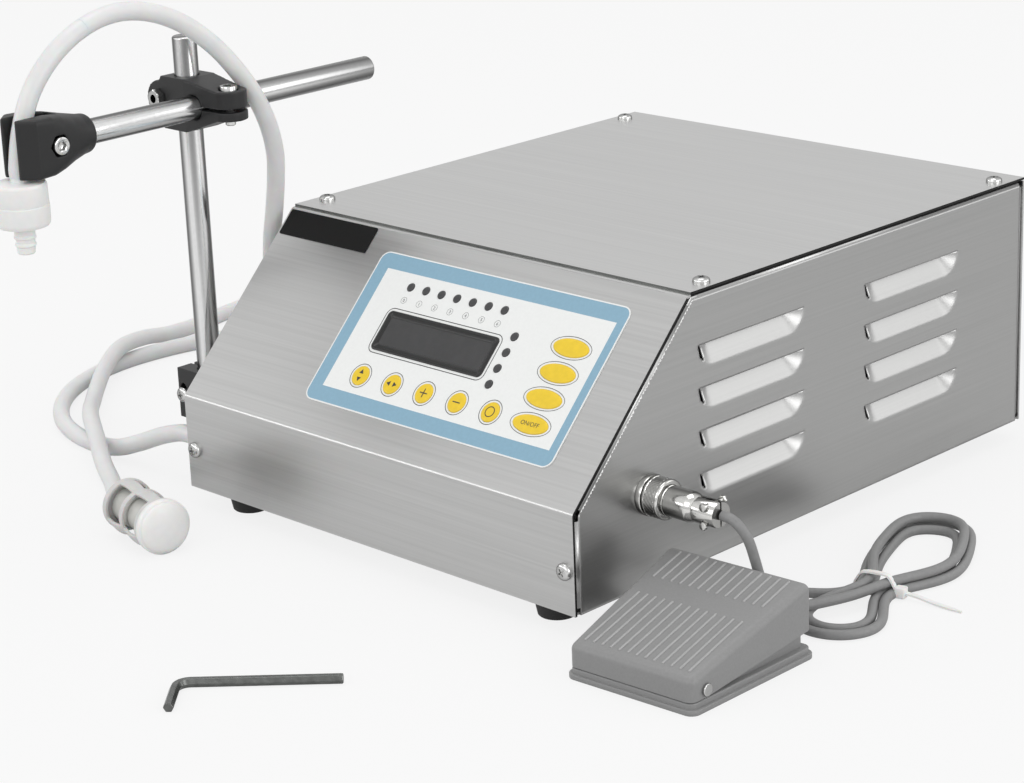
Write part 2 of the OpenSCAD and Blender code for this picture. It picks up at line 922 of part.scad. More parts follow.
module pump_motor() {
    color("gray")
        pump()
            translate([0, pump_deep, 0]) {
                difference() {
                    lay_y() cylinder(r = motor_r, h = motor_l);
                    translate([0, -1, 0]) lay_y() cylinder(r = shaft_r + fit, h = shaft_in + fit + 1);
                }
                translate([0, motor_l, 0]) lay_y() cylinder(r = motor_r * 0.4, h = 4);
                for (x = [-1, 1])
                    translate([x * motor_r * 0.6 - 2, motor_l, -0.5]) cube([4, 8, 1]);
            }
}

module pump_bracket() {
    top = pump_z - sheet_t - motor_r * 0.3;
    color("silver")
        cab()
            translate([pump_x, pump_y + pump_deep, sheet_t])
                difference() {
                    union() {
                        translate([-motor_r - 8, saddle_in, 0])
                            cube([2 * motor_r + 16, motor_l - 2 * saddle_in, saddle_t]);
                        for (y = [saddle_in, motor_l - saddle_in - saddle_t])
                            translate([-motor_r - 2, y, 0]) cube([2 * motor_r + 4, saddle_t, top]);
                    }
                    translate([0, 0, pump_z - sheet_t]) lay_y() cylinder(r = motor_r, h = motor_l);
                }
}

module pump_rotor() {
    color("lightgray")
        pump() {
            translate([0, 6, 0]) lay_y() cylinder(r = shaft_r, h = pump_deep + shaft_in - 6);
            translate([cam_off, 7, 0]) lay_y() cylinder(r = cam_r, h = pump_deep - 14);
        }
}

module suction_tube() {
    route = concat(
        [for (x = [0, 9]) [port_in + x, inlet_y, inlet_z]],
        [[35, 24.5, 17], [46, 33, 21.5], [53, 49, 28.5], [57.5, 72, 37.5], [60, 92, 43.5]],
        [[pump_x - barb_dx, pump_y - barb_l, pump_z + barb_dz]]
    );
    color("white") cab() tube(route, tube_r, 8, [0, 0, 1]);
}

module delivery_tube() {
    route = concat(
        [[pump_x + barb_dx, pump_y - barb_l, pump_z + barb_dz]],
        [[80, 98, 45], [74, 86, 50], [60, 78, 56], [42, 75, 60.5], [26, 75, 62]],
        [[port_in, outlet_y, outlet_z]]
    );
    color("white") cab() tube(route, tube_r, 8, [0, 0, 1]);
}

// Through fitting in the left side panel, reaching out to the given distance
module port_barrel(out) {
    translate([-out, 0, 0]) lay_x() cylinder(r = port_r, h = out + port_in);
    translate([-port_flange_t, 0, 0]) lay_x() cylinder(r = port_flange_r, h = port_flange_t);
    translate([sheet_t, 0, 0]) lay_x() hex_nut(2 * port_flange_r, port_flange_t + 1);
}

module hose_ports() {
    color("lightgray")
        cab() {
            translate([0, inlet_y, inlet_z]) port_barrel(port_out);
            translate([0, outlet_y, outlet_z]) {
                port_barrel(elbow_out);
                translate([-elbow_out, 0, 0]) sphere(port_r);
                translate([-elbow_out, 0, 0]) cylinder(r = port_r, h = elbow_up);
            }
        }
}

module power_inlet() {
    color("black")
        at_back(inlet_at)
            difference() {
                union() {
                    translate([-iec[0] / 2, -iec[2], -iec[1] / 2]) cube([iec[0], iec[2], iec[1]]);
                    along_y(rim_t) centred_rect(iec[0] + 2 * rim_w, iec[1] + 2 * rim_w, rim_w);
                }
                translate([0, iec_floor - iec[2], 0])
                    along_y(iec[2]) centred_rect(iec[0] - 2 * iec_wall, iec[1] - 2 * iec_wall, 2);
            }
    color("silver")
        at_back(inlet_at)
            for (p = [[-pin_dx, -1], [0, 3], [pin_dx, -1]])
                translate([p[0] - pin_w / 2, iec_floor - iec[2], p[1] - pin_w])
                    cube([pin_w, iec[2] - iec_floor - 2, 2 * pin_w]);
}

module rocker_frame() {
    color("black")
        at_back(rocker_at)
            difference() {
                union() {
                    translate([0, -rocker_size[1], 0])
                        along_y(rocker_size[1]) centred_rect(rocker_size[0], rocker_size[2], 1);
                    along_y(rim_t) centred_rect(rocker_size[0] + 4, rocker_size[2] + 4, 2);
                }
                translate([0, rim_t - rocker_size[1], 0])
                    along_y(rocker_size[1]) centred_rect(rocker_well[0], rocker_well[1], 0.6);
                translate([-rocker_size[0] / 2 - 1, -rocker_in, 0])
                    lay_x() cylinder(r = rocker_pin_r + fit, h = rocker_size[0] + 2);
            }
}

module power_rocker() {
    side = [[-4, -5], [2, -8], [6, -8], [4.6, 0], [6, 8], [2, 8], [-4, 5]];
    half = rocker_well[0] / 2 - 0.2;
    color("darkred")
        at_back(rocker_at)
            translate([0, -rocker_in, 0])
                rotate([rocker_a, 0, 0]) {
                    translate([-half, 0, 0]) along_x(2 * half) polygon(side);
                    translate([-half - 1, 0, 0]) lay_x() cylinder(r = rocker_pin_r, h = 2 * half + 2);
                }
}

// Local x along the connector axis, from the outer face of the right side panel
module connector() {
    cab() translate([cab_w, socket_y, socket_z]) lay_x() children();
}

module pedal_socket() {
    color("silver")
        connector() {
            translate([0, 0, -port_out]) cylinder(r = socket_r, h = port_out + socket_out);
            cylinder(r = socket_r + 1.5, h = socket_out / 2);
            translate([0, 0, -sheet_t - 3]) hex_nut(2 * socket_r + 3, 3);
        }
}

module plug_body() {
    color("silver")
        connector()
            translate([0, 0, socket_out]) {
                cylinder(r = socket_r - 0.3, h = ring_seat);
                cylinder(r = barrel_r, h = plug_l - plug_nose);
                translate([0, 0, plug_l - plug_nose])
                    cylinder(r1 = barrel_r, r2 = barrel_r - 1.5, h = plug_nose);
            }
}

module coupling_ring() {
    front = socket_out / 2 + 0.3;
    color("silver")
        connector()
            difference() {
                translate([0, 0, front]) cylinder(r = ring_r, h = socket_out + ring_seat + 2.5 - front);
                cylinder(r = socket_r + 2 * fit, h = socket_out + ring_seat + 0.2);
                cylinder(r = barrel_r + fit, h = plug_l);
            }
}

module plug_cord_clamp() {
    at = socket_out + plug_l;
    color("silver")
        connector() {
            difference() {
                translate([0, 0, at]) cylinder(r = barrel_r - 0.5, h = grip_out);
                translate([-barrel_r, -0.5, at + 2]) cube([2 * barrel_r, 1, grip_out]);
            }
            translate([0, 0, at + 1]) cylinder(r = cord_r, h = grip_out - 1);
            for (x = [-1, 1])
                translate([x * 4.2, -barrel_r + 0.8, at + grip_out * 0.6])
                    lay_y() cylinder(r = 1.5, h = 2 * barrel_r - 1.6);
        }
}

module pedal_cord() {
    color("black") {
        tube(plug_route, cord_r, 8, [0, 0, 1]);
        tube(pedal_route, cord_r, 8, [0, 0, 1]);
    }
}

// Stretch between two circles of the hank, bounded by their outer tangents
module hank_run(a, b) {
    along = [b[0] - a[0], b[1] - a[1]];
    line = atan2(along[1], along[0]);
    lean = acos((a[2] - b[2]) / norm(along));
    polygon([
        for (p = [[a, 1], [b, 1], [b, -1], [a, -1]])
        [p[0][0] + p[0][2] * cos(line + p[1] * lean), p[0][1] + p[0][2] * sin(line + p[1] * lean)]
    ]);
}

module at_tie() {
    translate([hank[1][0], hank[1][1], 0]) rotate(tie_turn) children();
}

// Inside of the tie, where the strands pass through it
module tie_inside(l) {
    translate([-tie_half, -l / 2, tie_t]) cube([2 * tie_half, l, hank_h - 2 * tie_t]);
}

module cord_hank() {
    wide = 4 * hank[1][2];
    notch = tie_w + 2 * tie_gap;
    color("gray")
        difference() {
            linear_extrude(hank_h)
                offset(r = -2)
                    offset(delta = 2) {
                        for (c = hank) translate([c[0], c[1]]) circle(c[2]);
                        for (i = [0:len(hank) - 2]) hank_run(hank[i], hank[i + 1]);
                    }
            at_tie()
                difference() {
                    translate([-wide / 2, -notch / 2, -1]) cube([wide, notch, hank_h + 2]);
                    tie_inside(2 * notch);
                }
        }
}

module cable_tie() {
    color("white")
        at_tie() {
            difference() {
                translate([-tie_half - tie_t, -tie_w / 2, 0])
                    cube([2 * (tie_half + tie_t), tie_w, hank_h]);
                tie_inside(2 * tie_w);
            }
            translate([tie_half + tie_t, -tie_w / 2, 1]) cube([tie_head, tie_w, tie_head]);
            translate([tie_half + tie_t + tie_head, -tie_w / 2, 2]) cube([tie_tail, tie_w, tie_t]);
        }
}

// Pedal on the table: x to the right, y from its hinge end to its raised end
module on_pedal() {
    translate([pedal_at[0], pedal_at[1], 0]) rotate(pedal_turn) children();
}

// Plan of the pedal between two distances from its hinge end, its sides moved inwards
module pedal_plan(in, y0, y1) {
    function half(y) = (pedal_wf + (pedal_wb - pedal_wf) * y / pedal_l) / 2 - in;
    polygon([[-half(y0), y0], [half(y0), y0], [half(y1), y1], [-half(y1), y1]]);
}

function treadle_z(y) = pedal_zf + (pedal_zb - pedal_zf) * y / pedal_l;

module pedal_base() {
    wall_in = pedal_wall + 0.8;
    top = pedal_base_t;
    color("gray")
        on_pedal()
            difference() {
                union() {
                    linear_extrude(top / 2) pedal_plan(-1.5, -1, pedal_l + 1);
                    linear_extrude(top) pedal_plan(0, 0, pedal_l);
                    intersection() {
                        linear_extrude(pedal_zb)
                            difference() {
                                pedal_plan(wall_in, 0, pedal_l);
                                pedal_plan(wall_in + 1.6, -1, pedal_l + 1);
                            }
                        translate([-pedal_wb, 0, 0])
                            along_x(2 * pedal_wb)
                                polygon([[14, 0], [pedal_l - 4, 0], [pedal_l - 4, 20], [14, 9]]);
                    }
                    for (x = [-lug_x, lug_x])
                        translate([x - lug_t / 2, 0, 0]) {
                            translate([0, pin_y - lug_r, top / 2]) cube([lug_t, 2 * lug_r, pin_z - top / 2]);
                            translate([0, pin_y, pin_z]) lay_x() cylinder(r = lug_r, h = lug_t);
                        }
                    translate([gland_x - gland_r, pedal_l - gland_in, top / 2])
                        cube([2 * gland_r, gland_in, gland_z - top / 2]);
                    translate([gland_x, pedal_l - gland_in, gland_z])
                        lay_y() cylinder(r = gland_r, h = gland_out - pedal_l + gland_in);
                }
                translate([-pedal_wf, pin_y, pin_z]) lay_x() cylinder(r = pin_r + fit, h = 2 * pedal_wf);
            }
}

module pedal_treadle() {
    back = pedal_l - 2 * pedal_wall;
    color("gray")
        on_pedal()
            difference() {
                union() {
                    difference() {
                        treadle_body(0, 0);
                        treadle_body(pedal_wall, pedal_wall);
                    }
                    translate([0, boss_y, boss_low])
                        cylinder(r = boss_r, h = treadle_z(boss_y) - boss_low - 1.5);
                }
                translate([gland_x, back, gland_z])
                    lay_y() cylinder(r = gland_r + gland_gap, h = 4 * pedal_wall);
                translate([gland_x - gland_r - gland_gap, back, 0])
                    cube([2 * (gland_r + gland_gap), 4 * pedal_wall, gland_notch]);
                translate([-pedal_wf, pin_y, pin_z]) lay_x() cylinder(r = pin_r + fit, h = 2 * pedal_wf);
            }
}

// Outer body of the treadle, or with an inset and a roof thickness its hollow
module treadle_body(in, roof) {
    low = in > 0 ? -10 : 0;
    intersection() {
        linear_extrude(2 * pedal_zb) pedal_plan(in, in, pedal_l - in);
        translate([-pedal_wb, 0, 0])
            along_x(2 * pedal_wb)
                polygon([
                    [0, treadle_low + low], [10, treadle_low + low], [pedal_l, treadle_back + low],
                    [pedal_l, treadle_z(pedal_l) - roof - 1.5],
                    [pedal_l - 1.5, treadle_z(pedal_l - 1.5) - roof],
                    [2, treadle_z(2) - roof], [0, treadle_z(0) - roof - 2]
                ]);
    }
}

module pedal_pin() {
    half = pedal_wf / 2 + (pedal_wb - pedal_wf) * pin_y / pedal_l / 2 + 0.3;
    color("silver")
        on_pedal()
            translate([0, pin_y, pin_z]) {
                translate([-half, 0, 0]) lay_x() cylinder(r = pin_r, h = 2 * half);
                translate([half, 0, 0]) lay_x() cylinder(r = pin_r + 0.8, h = 1);
            }
}

module pedal_spring() {
    top = treadle_z(spring_y - spring_r) - pedal_wall - 0.3;
    color("silver")
        on_pedal()
            translate([0, spring_y, pedal_base_t])
                difference() {
                    cylinder(r = spring_r, h = top - pedal_base_t);
                    translate([0, 0, -1]) cylinder(r = spring_r - 1, h = top);
                }
}

module pedal_switch() {
    color("black")
        on_pedal()
            translate([0, boss_y, pedal_base_t]) {
                translate([-10, -4, 0]) cube([20, 8, 6]);
                cylinder(r = 1.6, h = boss_low - boss_travel - pedal_base_t);
            }
}

module at_stand() {
    cab() translate([-stand_x, stand_y, 0]) children();
}

// Screw that closes the stand bracket on its rod, its head towards the front
module at_bracket_bolt() {
    at_stand()
        translate([-bracket_out + 4, -clamp_w / 2, bracket_low + clamp_h * 0.62])
            rotate([90, 0, 0]) children();
}

module stand_bracket() {
    color("black")
        difference() {
            at_stand()
                difference() {
                    translate([-bracket_out, -clamp_w / 2, bracket_low])
                        cube([bracket_out + stand_x, clamp_w, clamp_h]);
                    translate([0, 0, bracket_low + 1]) cylinder(r = rod_r + rod_gap, h = clamp_h);
                    translate([-bracket_out - 1, -slit / 2, bracket_low - 1])
                        cube([bracket_out, slit, clamp_h + 2]);
                }
            at_bracket_bolt() cylinder(r = screw_r + fit, h = 2 * clamp_w + 1, center = true);
            at_bracket_screws() screw_hole();
        }
}

// Rod along z with chamfered ends
module rod(l) {
    c = 0.8;
    cylinder(r1 = rod_r - c, r2 = rod_r, h = c);
    translate([0, 0, c]) cylinder(r = rod_r, h = l - 2 * c);
    translate([0, 0, l - c]) cylinder(r1 = rod_r, r2 = rod_r - c, h = c);
}

module stand_rod() {
    low = bracket_low + 1;
    color("lightgray") at_stand() translate([0, 0, low]) rod(stand_top - low);
}

// Middle of the cross clamp: x and y on the stand rod, z at the arm rod
module at_clamp() {
    at_stand() translate([0, 0, arm_z]) children();
}

module cross_clamp() {
    left = -bolt_off;
    right = arm_dx + ear_x;
    low = ear_up - ear_h / 2;
    high = ear_up + ear_h / 2;
    color("black")
        at_clamp()
            difference() {
                intersection() {
                    translate([0, -clamp_w, 0])
                        along_y(2 * clamp_w) {
                            translate([left, 1]) circle(ear_r + 0.8);
                            polygon([
                                [left, ear_r + 1.8], [left, 0.2 - ear_r], [left + 2, -clamp_h / 2],
                                [9, -clamp_h / 2], [right, low], [right + ear_r, low],
                                [right + ear_r, high], [right, high],
                                [9, clamp_h / 2], [left + 2, clamp_h / 2]
                            ]);
                        }
                    translate([0, 0, -clamp_h])
                        linear_extrude(2 * clamp_h) {
                            translate([left - ear_r - 1, -clamp_w / 2]) square([ear_r + 10 - left, clamp_w]);
                            polygon([
                                [9, -clamp_w / 2], [right, -ear_r], [right, ear_r], [9, clamp_w / 2]
                            ]);
                            translate([right, 0]) circle(ear_r);
                        }
                }
                cylinder(r = rod_r + rod_gap, h = 2 * clamp_h, center = true);
                translate([arm_dx, -clamp_w, 0]) lay_y() cylinder(r = rod_r + rod_gap, h = 2 * clamp_w);
                translate([left - 2 * ear_r, -slit / 2, -clamp_h])
                    cube([2 * ear_r - left, slit, 2 * clamp_h]);
                translate([arm_dx, -clamp_w, -slit / 2]) cube([2 * ear_x + ear_r, 2 * clamp_w, slit]);
                translate([left, -clamp_w, ear_up]) lay_y() cylinder(r = bolt_r + fit, h = 2 * clamp_w);
                translate([right, 0, -clamp_h]) cylinder(r = bolt_r + fit, h = 2 * clamp_h);
                translate([right, 0, high - ear_sink]) cylinder(r = bolt_head_r + 0.6, h = clamp_h);
            }
}

module clamp_bolts() {
    color("dimgray")
        at_clamp() {
            translate([-bolt_off, clamp_w / 2, ear_up]) rotate([-90, 0, 0]) socket_bolt(clamp_w + nut_h);
            translate([-bolt_off, -clamp_w / 2, ear_up]) rotate([90, 0, 0]) hex_nut(nut_af, nut_h);
            translate([arm_dx + ear_x, 0, ear_up + ear_h / 2 - ear_sink]) socket_bolt(ear_h);
        }
}

// Front end of the arm rod, with y running back along it
module at_arm() {
    cab() translate([arm_x, -arm_front, arm_z]) children();
}

module arm_rod() {
    color("lightgray") at_arm() lay_y() rod(arm_l);
}

module nozzle_clamp() {
    half = jaw_h / 2;
    nose = jaw_w - 7;
    color("black")
        at_arm()
            difference() {
                union() {
                    translate([0, -2, 0]) lay_y() cylinder(r = grip_r, h = grip_l + 2);
                    intersection() {
                        translate([0, 0, -half])
                            linear_extrude(jaw_h)
                                polygon([
                                    [-grip_r, 8], [-jaw_w, 3], [-jaw_w, 7 - jaw_front], [-nose, -jaw_front],
                                    [nose, -jaw_front], [jaw_w, 7 - jaw_front], [jaw_w, 3], [grip_r, 8]
                                ]);
                        translate([-jaw_w, 0, 0])
                            along_x(2 * jaw_w)
                                polygon([
                                    [8, -grip_r], [3, -half], [-jaw_front, -half],
                                    [-jaw_front, half], [3, half], [8, grip_r]
                                ]);
                    }
                }
                lay_y() cylinder(r = rod_r + rod_gap, h = 2 * grip_l);
                translate([-jaw_gap, -jaw_front - 1, -jaw_h]) cube([2 * jaw_gap, jaw_front - 1, 2 * jaw_h]);
                translate([-slit / 2, -3, 0]) cube([slit, 2 * grip_l, jaw_h]);
                translate([-2 * jaw_w, -jaw_bolt, 0]) lay_x() cylinder(r = bolt_r + fit, h = 4 * jaw_w);
                translate([jaw_w - nut_h, -jaw_bolt, 0]) lay_x() cylinder(r = bolt_head_r + 0.6, h = jaw_w);
                translate([-jaw_w - 1, -jaw_bolt, 0]) lay_x() hex_nut(nut_af + 0.4, nut_h + 1);
            }
}

module nozzle_bolt() {
    color("silver")
        at_arm()
            translate([0, -jaw_bolt, 0]) {
                translate([jaw_w - nut_h, 0, 0]) lay_x() socket_bolt(2 * jaw_w - nut_h);
                translate([-jaw_w, 0, 0]) lay_x() hex_nut(nut_af, nut_h);
            }
}

module filling_nozzle() {
    seam_h = 0.8;
    color("black")
        at_arm()
            translate([0, -hose_front, -valve_drop])
                difference() {
                    union() {
                        translate([0, 0, -1]) cylinder(r = hose_r - 0.25, h = neck_l + 1);
                        translate([0, 0, -valve_h]) {
                            cylinder(r = valve_r, h = (valve_h - seam_h) / 2);
                            cylinder(r = valve_r - seam_h, h = valve_h);
                            translate([0, 0, (valve_h + seam_h) / 2])
                                cylinder(r = valve_r, h = (valve_h - seam_h) / 2);
                        }
                        translate([0, 0, -valve_h - tip_l]) cylinder(r = tip_r, h = tip_l + 1);
                    }
                    translate([0, 0, -valve_h - tip_l - 1]) cylinder(r = tip_r / 2, h = valve_h / 2 + tip_l);
                }
}

module outlet_hose() {
    color("white") tube(outlet_route, hose_r, 12, [1, 0, 0]);
}

module inlet_hose() {
    color("white") tube(inlet_route, hose_r, 8, [0, 0, 1]);
}

// Suction filter lying on the table, with z along it from its hose end
module at_filter() {
    translate(filter_at) rotate(filter_heading) lay_x() children();
}

module filter_cage() {
    wall = 2;
    ring = 4;
    color("whitesmoke")
        at_filter()
            difference() {
                cylinder(r = filter_r, h = filter_l);
                translate([0, 0, wall]) cylinder(r = filter_r - wall, h = filter_l);
                for (i = [0:filter_slots / 2 - 1])
                    rotate(i * 360 / filter_slots)
                        translate([-filter_r - 1, -slot_w / 2, ring])
                            cube([2 * filter_r + 2, slot_w, filter_l - 2 * ring]);
            }
}

module filter_cap() {
    color("whitesmoke")
        at_filter()
            translate([0, 0, filter_l]) {
                cylinder(r = filter_r, h = cap_rim);
                intersection() {
                    translate([0, 0, cap_rim - dome_r + cap_dome]) sphere(dome_r);
                    cylinder(r = filter_r, h = 2 * filter_r);
                }
            }
}

module hex_key() {
    start = hex_long / 2;
    bend = [for (a = [0:15:90]) [hex_bend * (1 - sin(a)) - start, -hex_bend * (1 - cos(a)), 0]];
    route = concat([[start, 0, 0]], bend, [[-start, -hex_short, 0]]);
    color("dimgray")
        translate([hex_at[0], hex_at[1], hex_af / 2])
            rotate(hex_turn)
                tube(route, hex_af / sqrt(3), 6, [0, 0, 1]);
}

base_pan();
left_side_panel();
right_side_panel();
front_panel();
top_cover();
back_panel();
case_screws();
rubber_feet();
foot_screws();
keypad_overlay();
blank_label();
lcd_module();
indicator_lamps();
key_up_down();
key_left_right();
key_plus();
key_minus();
key_zero();
key_power();
key_clear();
key_settings();
key_run();
key_switches();
control_board();
power_supply();
pump_motor();
pump_head();
pump_bracket();
pump_rotor();
suction_tube();
delivery_tube();
hose_ports();
power_inlet();
rocker_frame();
power_rocker();
pedal_socket();
plug_body();
coupling_ring();
plug_cord_clamp();
pedal_cord();
cord_hank();
cable_tie();
pedal_base();
pedal_treadle();
pedal_pin();
pedal_spring();
pedal_switch();
stand_bracket();
stand_rod();
cross_clamp();
clamp_bolts();
arm_rod();
nozzle_clamp();
nozzle_bolt();
filling_nozzle();
outlet_hose();
inlet_hose();
filter_cage();
filter_cap();
hex_key();
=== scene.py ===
"""Looks of the perfume filling machine, around its packed construction.

Shapes are drawn in millimetres in a local frame, and placed in metres in the part's own frame.
"""

import json
from math import atan2, ceil, copysign, cos, hypot, pi, radians, sin, sqrt, tan

import bmesh
import bpy
from mathutils import Matrix, Vector

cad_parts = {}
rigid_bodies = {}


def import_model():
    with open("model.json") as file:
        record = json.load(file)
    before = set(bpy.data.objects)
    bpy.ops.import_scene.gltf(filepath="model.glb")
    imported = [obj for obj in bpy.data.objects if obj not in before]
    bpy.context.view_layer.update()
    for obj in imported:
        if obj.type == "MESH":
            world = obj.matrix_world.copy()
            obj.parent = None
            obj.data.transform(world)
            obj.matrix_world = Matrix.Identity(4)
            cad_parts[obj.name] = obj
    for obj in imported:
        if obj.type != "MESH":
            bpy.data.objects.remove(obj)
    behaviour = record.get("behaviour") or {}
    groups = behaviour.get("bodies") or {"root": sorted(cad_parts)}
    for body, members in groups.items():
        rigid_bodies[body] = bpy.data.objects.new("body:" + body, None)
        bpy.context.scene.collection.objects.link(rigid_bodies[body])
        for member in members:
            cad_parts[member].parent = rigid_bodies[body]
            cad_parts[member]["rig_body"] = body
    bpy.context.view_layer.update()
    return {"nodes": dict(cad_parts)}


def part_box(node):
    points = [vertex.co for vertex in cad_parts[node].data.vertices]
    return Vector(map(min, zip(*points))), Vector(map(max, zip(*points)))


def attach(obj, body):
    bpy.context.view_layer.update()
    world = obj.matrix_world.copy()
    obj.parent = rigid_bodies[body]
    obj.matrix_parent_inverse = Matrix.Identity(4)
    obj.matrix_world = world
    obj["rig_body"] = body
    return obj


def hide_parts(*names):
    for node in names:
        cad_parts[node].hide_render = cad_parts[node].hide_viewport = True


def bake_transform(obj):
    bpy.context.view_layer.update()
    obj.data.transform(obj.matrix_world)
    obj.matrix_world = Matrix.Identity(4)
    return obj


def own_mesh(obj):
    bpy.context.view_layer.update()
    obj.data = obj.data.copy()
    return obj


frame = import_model()
scene = bpy.context.scene
nodes = frame["nodes"]
MM = 0.001
TO_METRES = Matrix.Scale(MM, 4)

# Case, in millimetres, as in the construction
CAB_W, CAB_D, CAB_H = 260.0, 332.0, 127.0
FRONT_H, SLOPE_RUN, FOOT_H = 47.0, 78.0, 10.0
SHEET, BEND = 1.2, 2.4
SLOPE_A = atan2(CAB_H - FRONT_H, SLOPE_RUN)


def turn(degrees, axis):
    return Matrix.Rotation(radians(degrees), 4, axis)


def shift(x, y, z):
    return Matrix.Translation((x, y, z))


CAB = shift(-CAB_W / 2, -CAB_D / 2, FOOT_H)
SLOPE = CAB @ shift(0, 0, FRONT_H) @ Matrix.Rotation(SLOPE_A, 4, "X")
ALONG_X = turn(90, "Y")
ALONG_Y = turn(-90, "X")
TO_FRONT = turn(90, "X")


def in_scene(name, data):
    """New object that holds the data, linked to the scene."""
    obj = bpy.data.objects.new(name, data)
    scene.collection.objects.link(obj)
    return obj


# Camera

RIGHT = Vector((0.71384613, 0.69926526, -0.03810244))
DOWN = Vector((0.1949058, -0.25063974, -0.94825706))
AHEAD = Vector((-0.67263321, 0.66948325, -0.31520906))
EYE = shift(0.8689, -0.9344, 0.4674)
camera = in_scene("camera", bpy.data.cameras.new("camera"))
camera.matrix_world = EYE @ Matrix((RIGHT, -DOWN, -AHEAD)).transposed().to_4x4()
camera.data.sensor_width = 36
camera.data.lens = 94.67
camera.data.clip_end = 60
scene.camera = camera


# Materials


def give(tree, socket, value):
    """Links an output to a node's input, or sets the input to a value."""
    if isinstance(value, bpy.types.NodeSocket):
        tree.links.new(value, socket)
    else:
        socket.default_value = value


def wire(tree, node, **inputs):
    """Gives a node its inputs, each named with an underscore for a space."""
    for key, value in inputs.items():
        give(tree, node.inputs[key.replace("_", " ")], value)
    return node


def add_node(tree, kind, **inputs):
    return wire(tree, tree.nodes.new("ShaderNode" + kind), **inputs)


def in_order(tree, kind, operation, *values):
    """Output of a new node whose inputs are given in their order."""
    node = tree.nodes.new("ShaderNode" + kind)
    if operation:
        node.operation = operation
    for socket, value in zip(node.inputs, values):
        give(tree, socket, value)
    return node.outputs[0]


def three(value):
    """Colour or grain from a triple, or from one number for all three."""
    return value if isinstance(value, (tuple, list)) else (value,) * 3


def ramp_of(tree, factor, stops):
    """Colour ramp over a factor, its stops pairs of a position and a colour or grey level."""
    node = add_node(tree, "ValToRGB", Fac=factor)
    elements = node.color_ramp.elements
    elements[0].position, elements[1].position = stops[0][0], stops[-1][0]
    for position, _ in stops[1:-1]:
        elements.new(position)
    for element, (_, tone) in zip(elements, stops):
        element.color = (*three(tone), 1)
    return node.outputs["Color"]


def finish_of(name, colour, rough, metallic, grain, tone, spread, bump, bump_grain=None, depth=0.00002,
              **inputs):
    """Material whose tone, gloss and relief vary along its grain."""
    mat = bpy.data.materials.new(name)
    mat.use_nodes = True
    tree = mat.node_tree
    coords = add_node(tree, "TexCoord")

    def noise_at(scale, detail):
        mapping = add_node(tree, "Mapping", Vector=coords.outputs["Object"], Scale=three(scale))
        noise = add_node(tree, "TexNoise", Vector=mapping.outputs["Vector"], Scale=1, Detail=detail)
        return noise.outputs["Fac"]

    base = noise_at(grain, 4)
    low, high = [[min(1, c * share) for c in three(colour)] for share in (1 - tone, 1 + tone)]
    gloss = add_node(tree, "MapRange", Value=base, To_Min=max(0.02, rough - spread), To_Max=rough + spread)
    relief = add_node(tree, "Bump", Strength=bump, Distance=depth, Height=noise_at(bump_grain or grain, 3))
    wire(tree, tree.nodes["Principled BSDF"], Metallic=metallic, Roughness=gloss.outputs["Result"],
         Base_Color=ramp_of(tree, base, [(0.3, low), (0.7, high)]), Normal=relief.outputs["Normal"], **inputs)
    return mat


STEEL = (0.58, 0.58, 0.575)
ACROSS, ALONG = (6, 900, 900), (900, 6, 900)
SCRATCHES_ACROSS, SCRATCHES_ALONG = (9, 2600, 2600), (2600, 9, 2600)
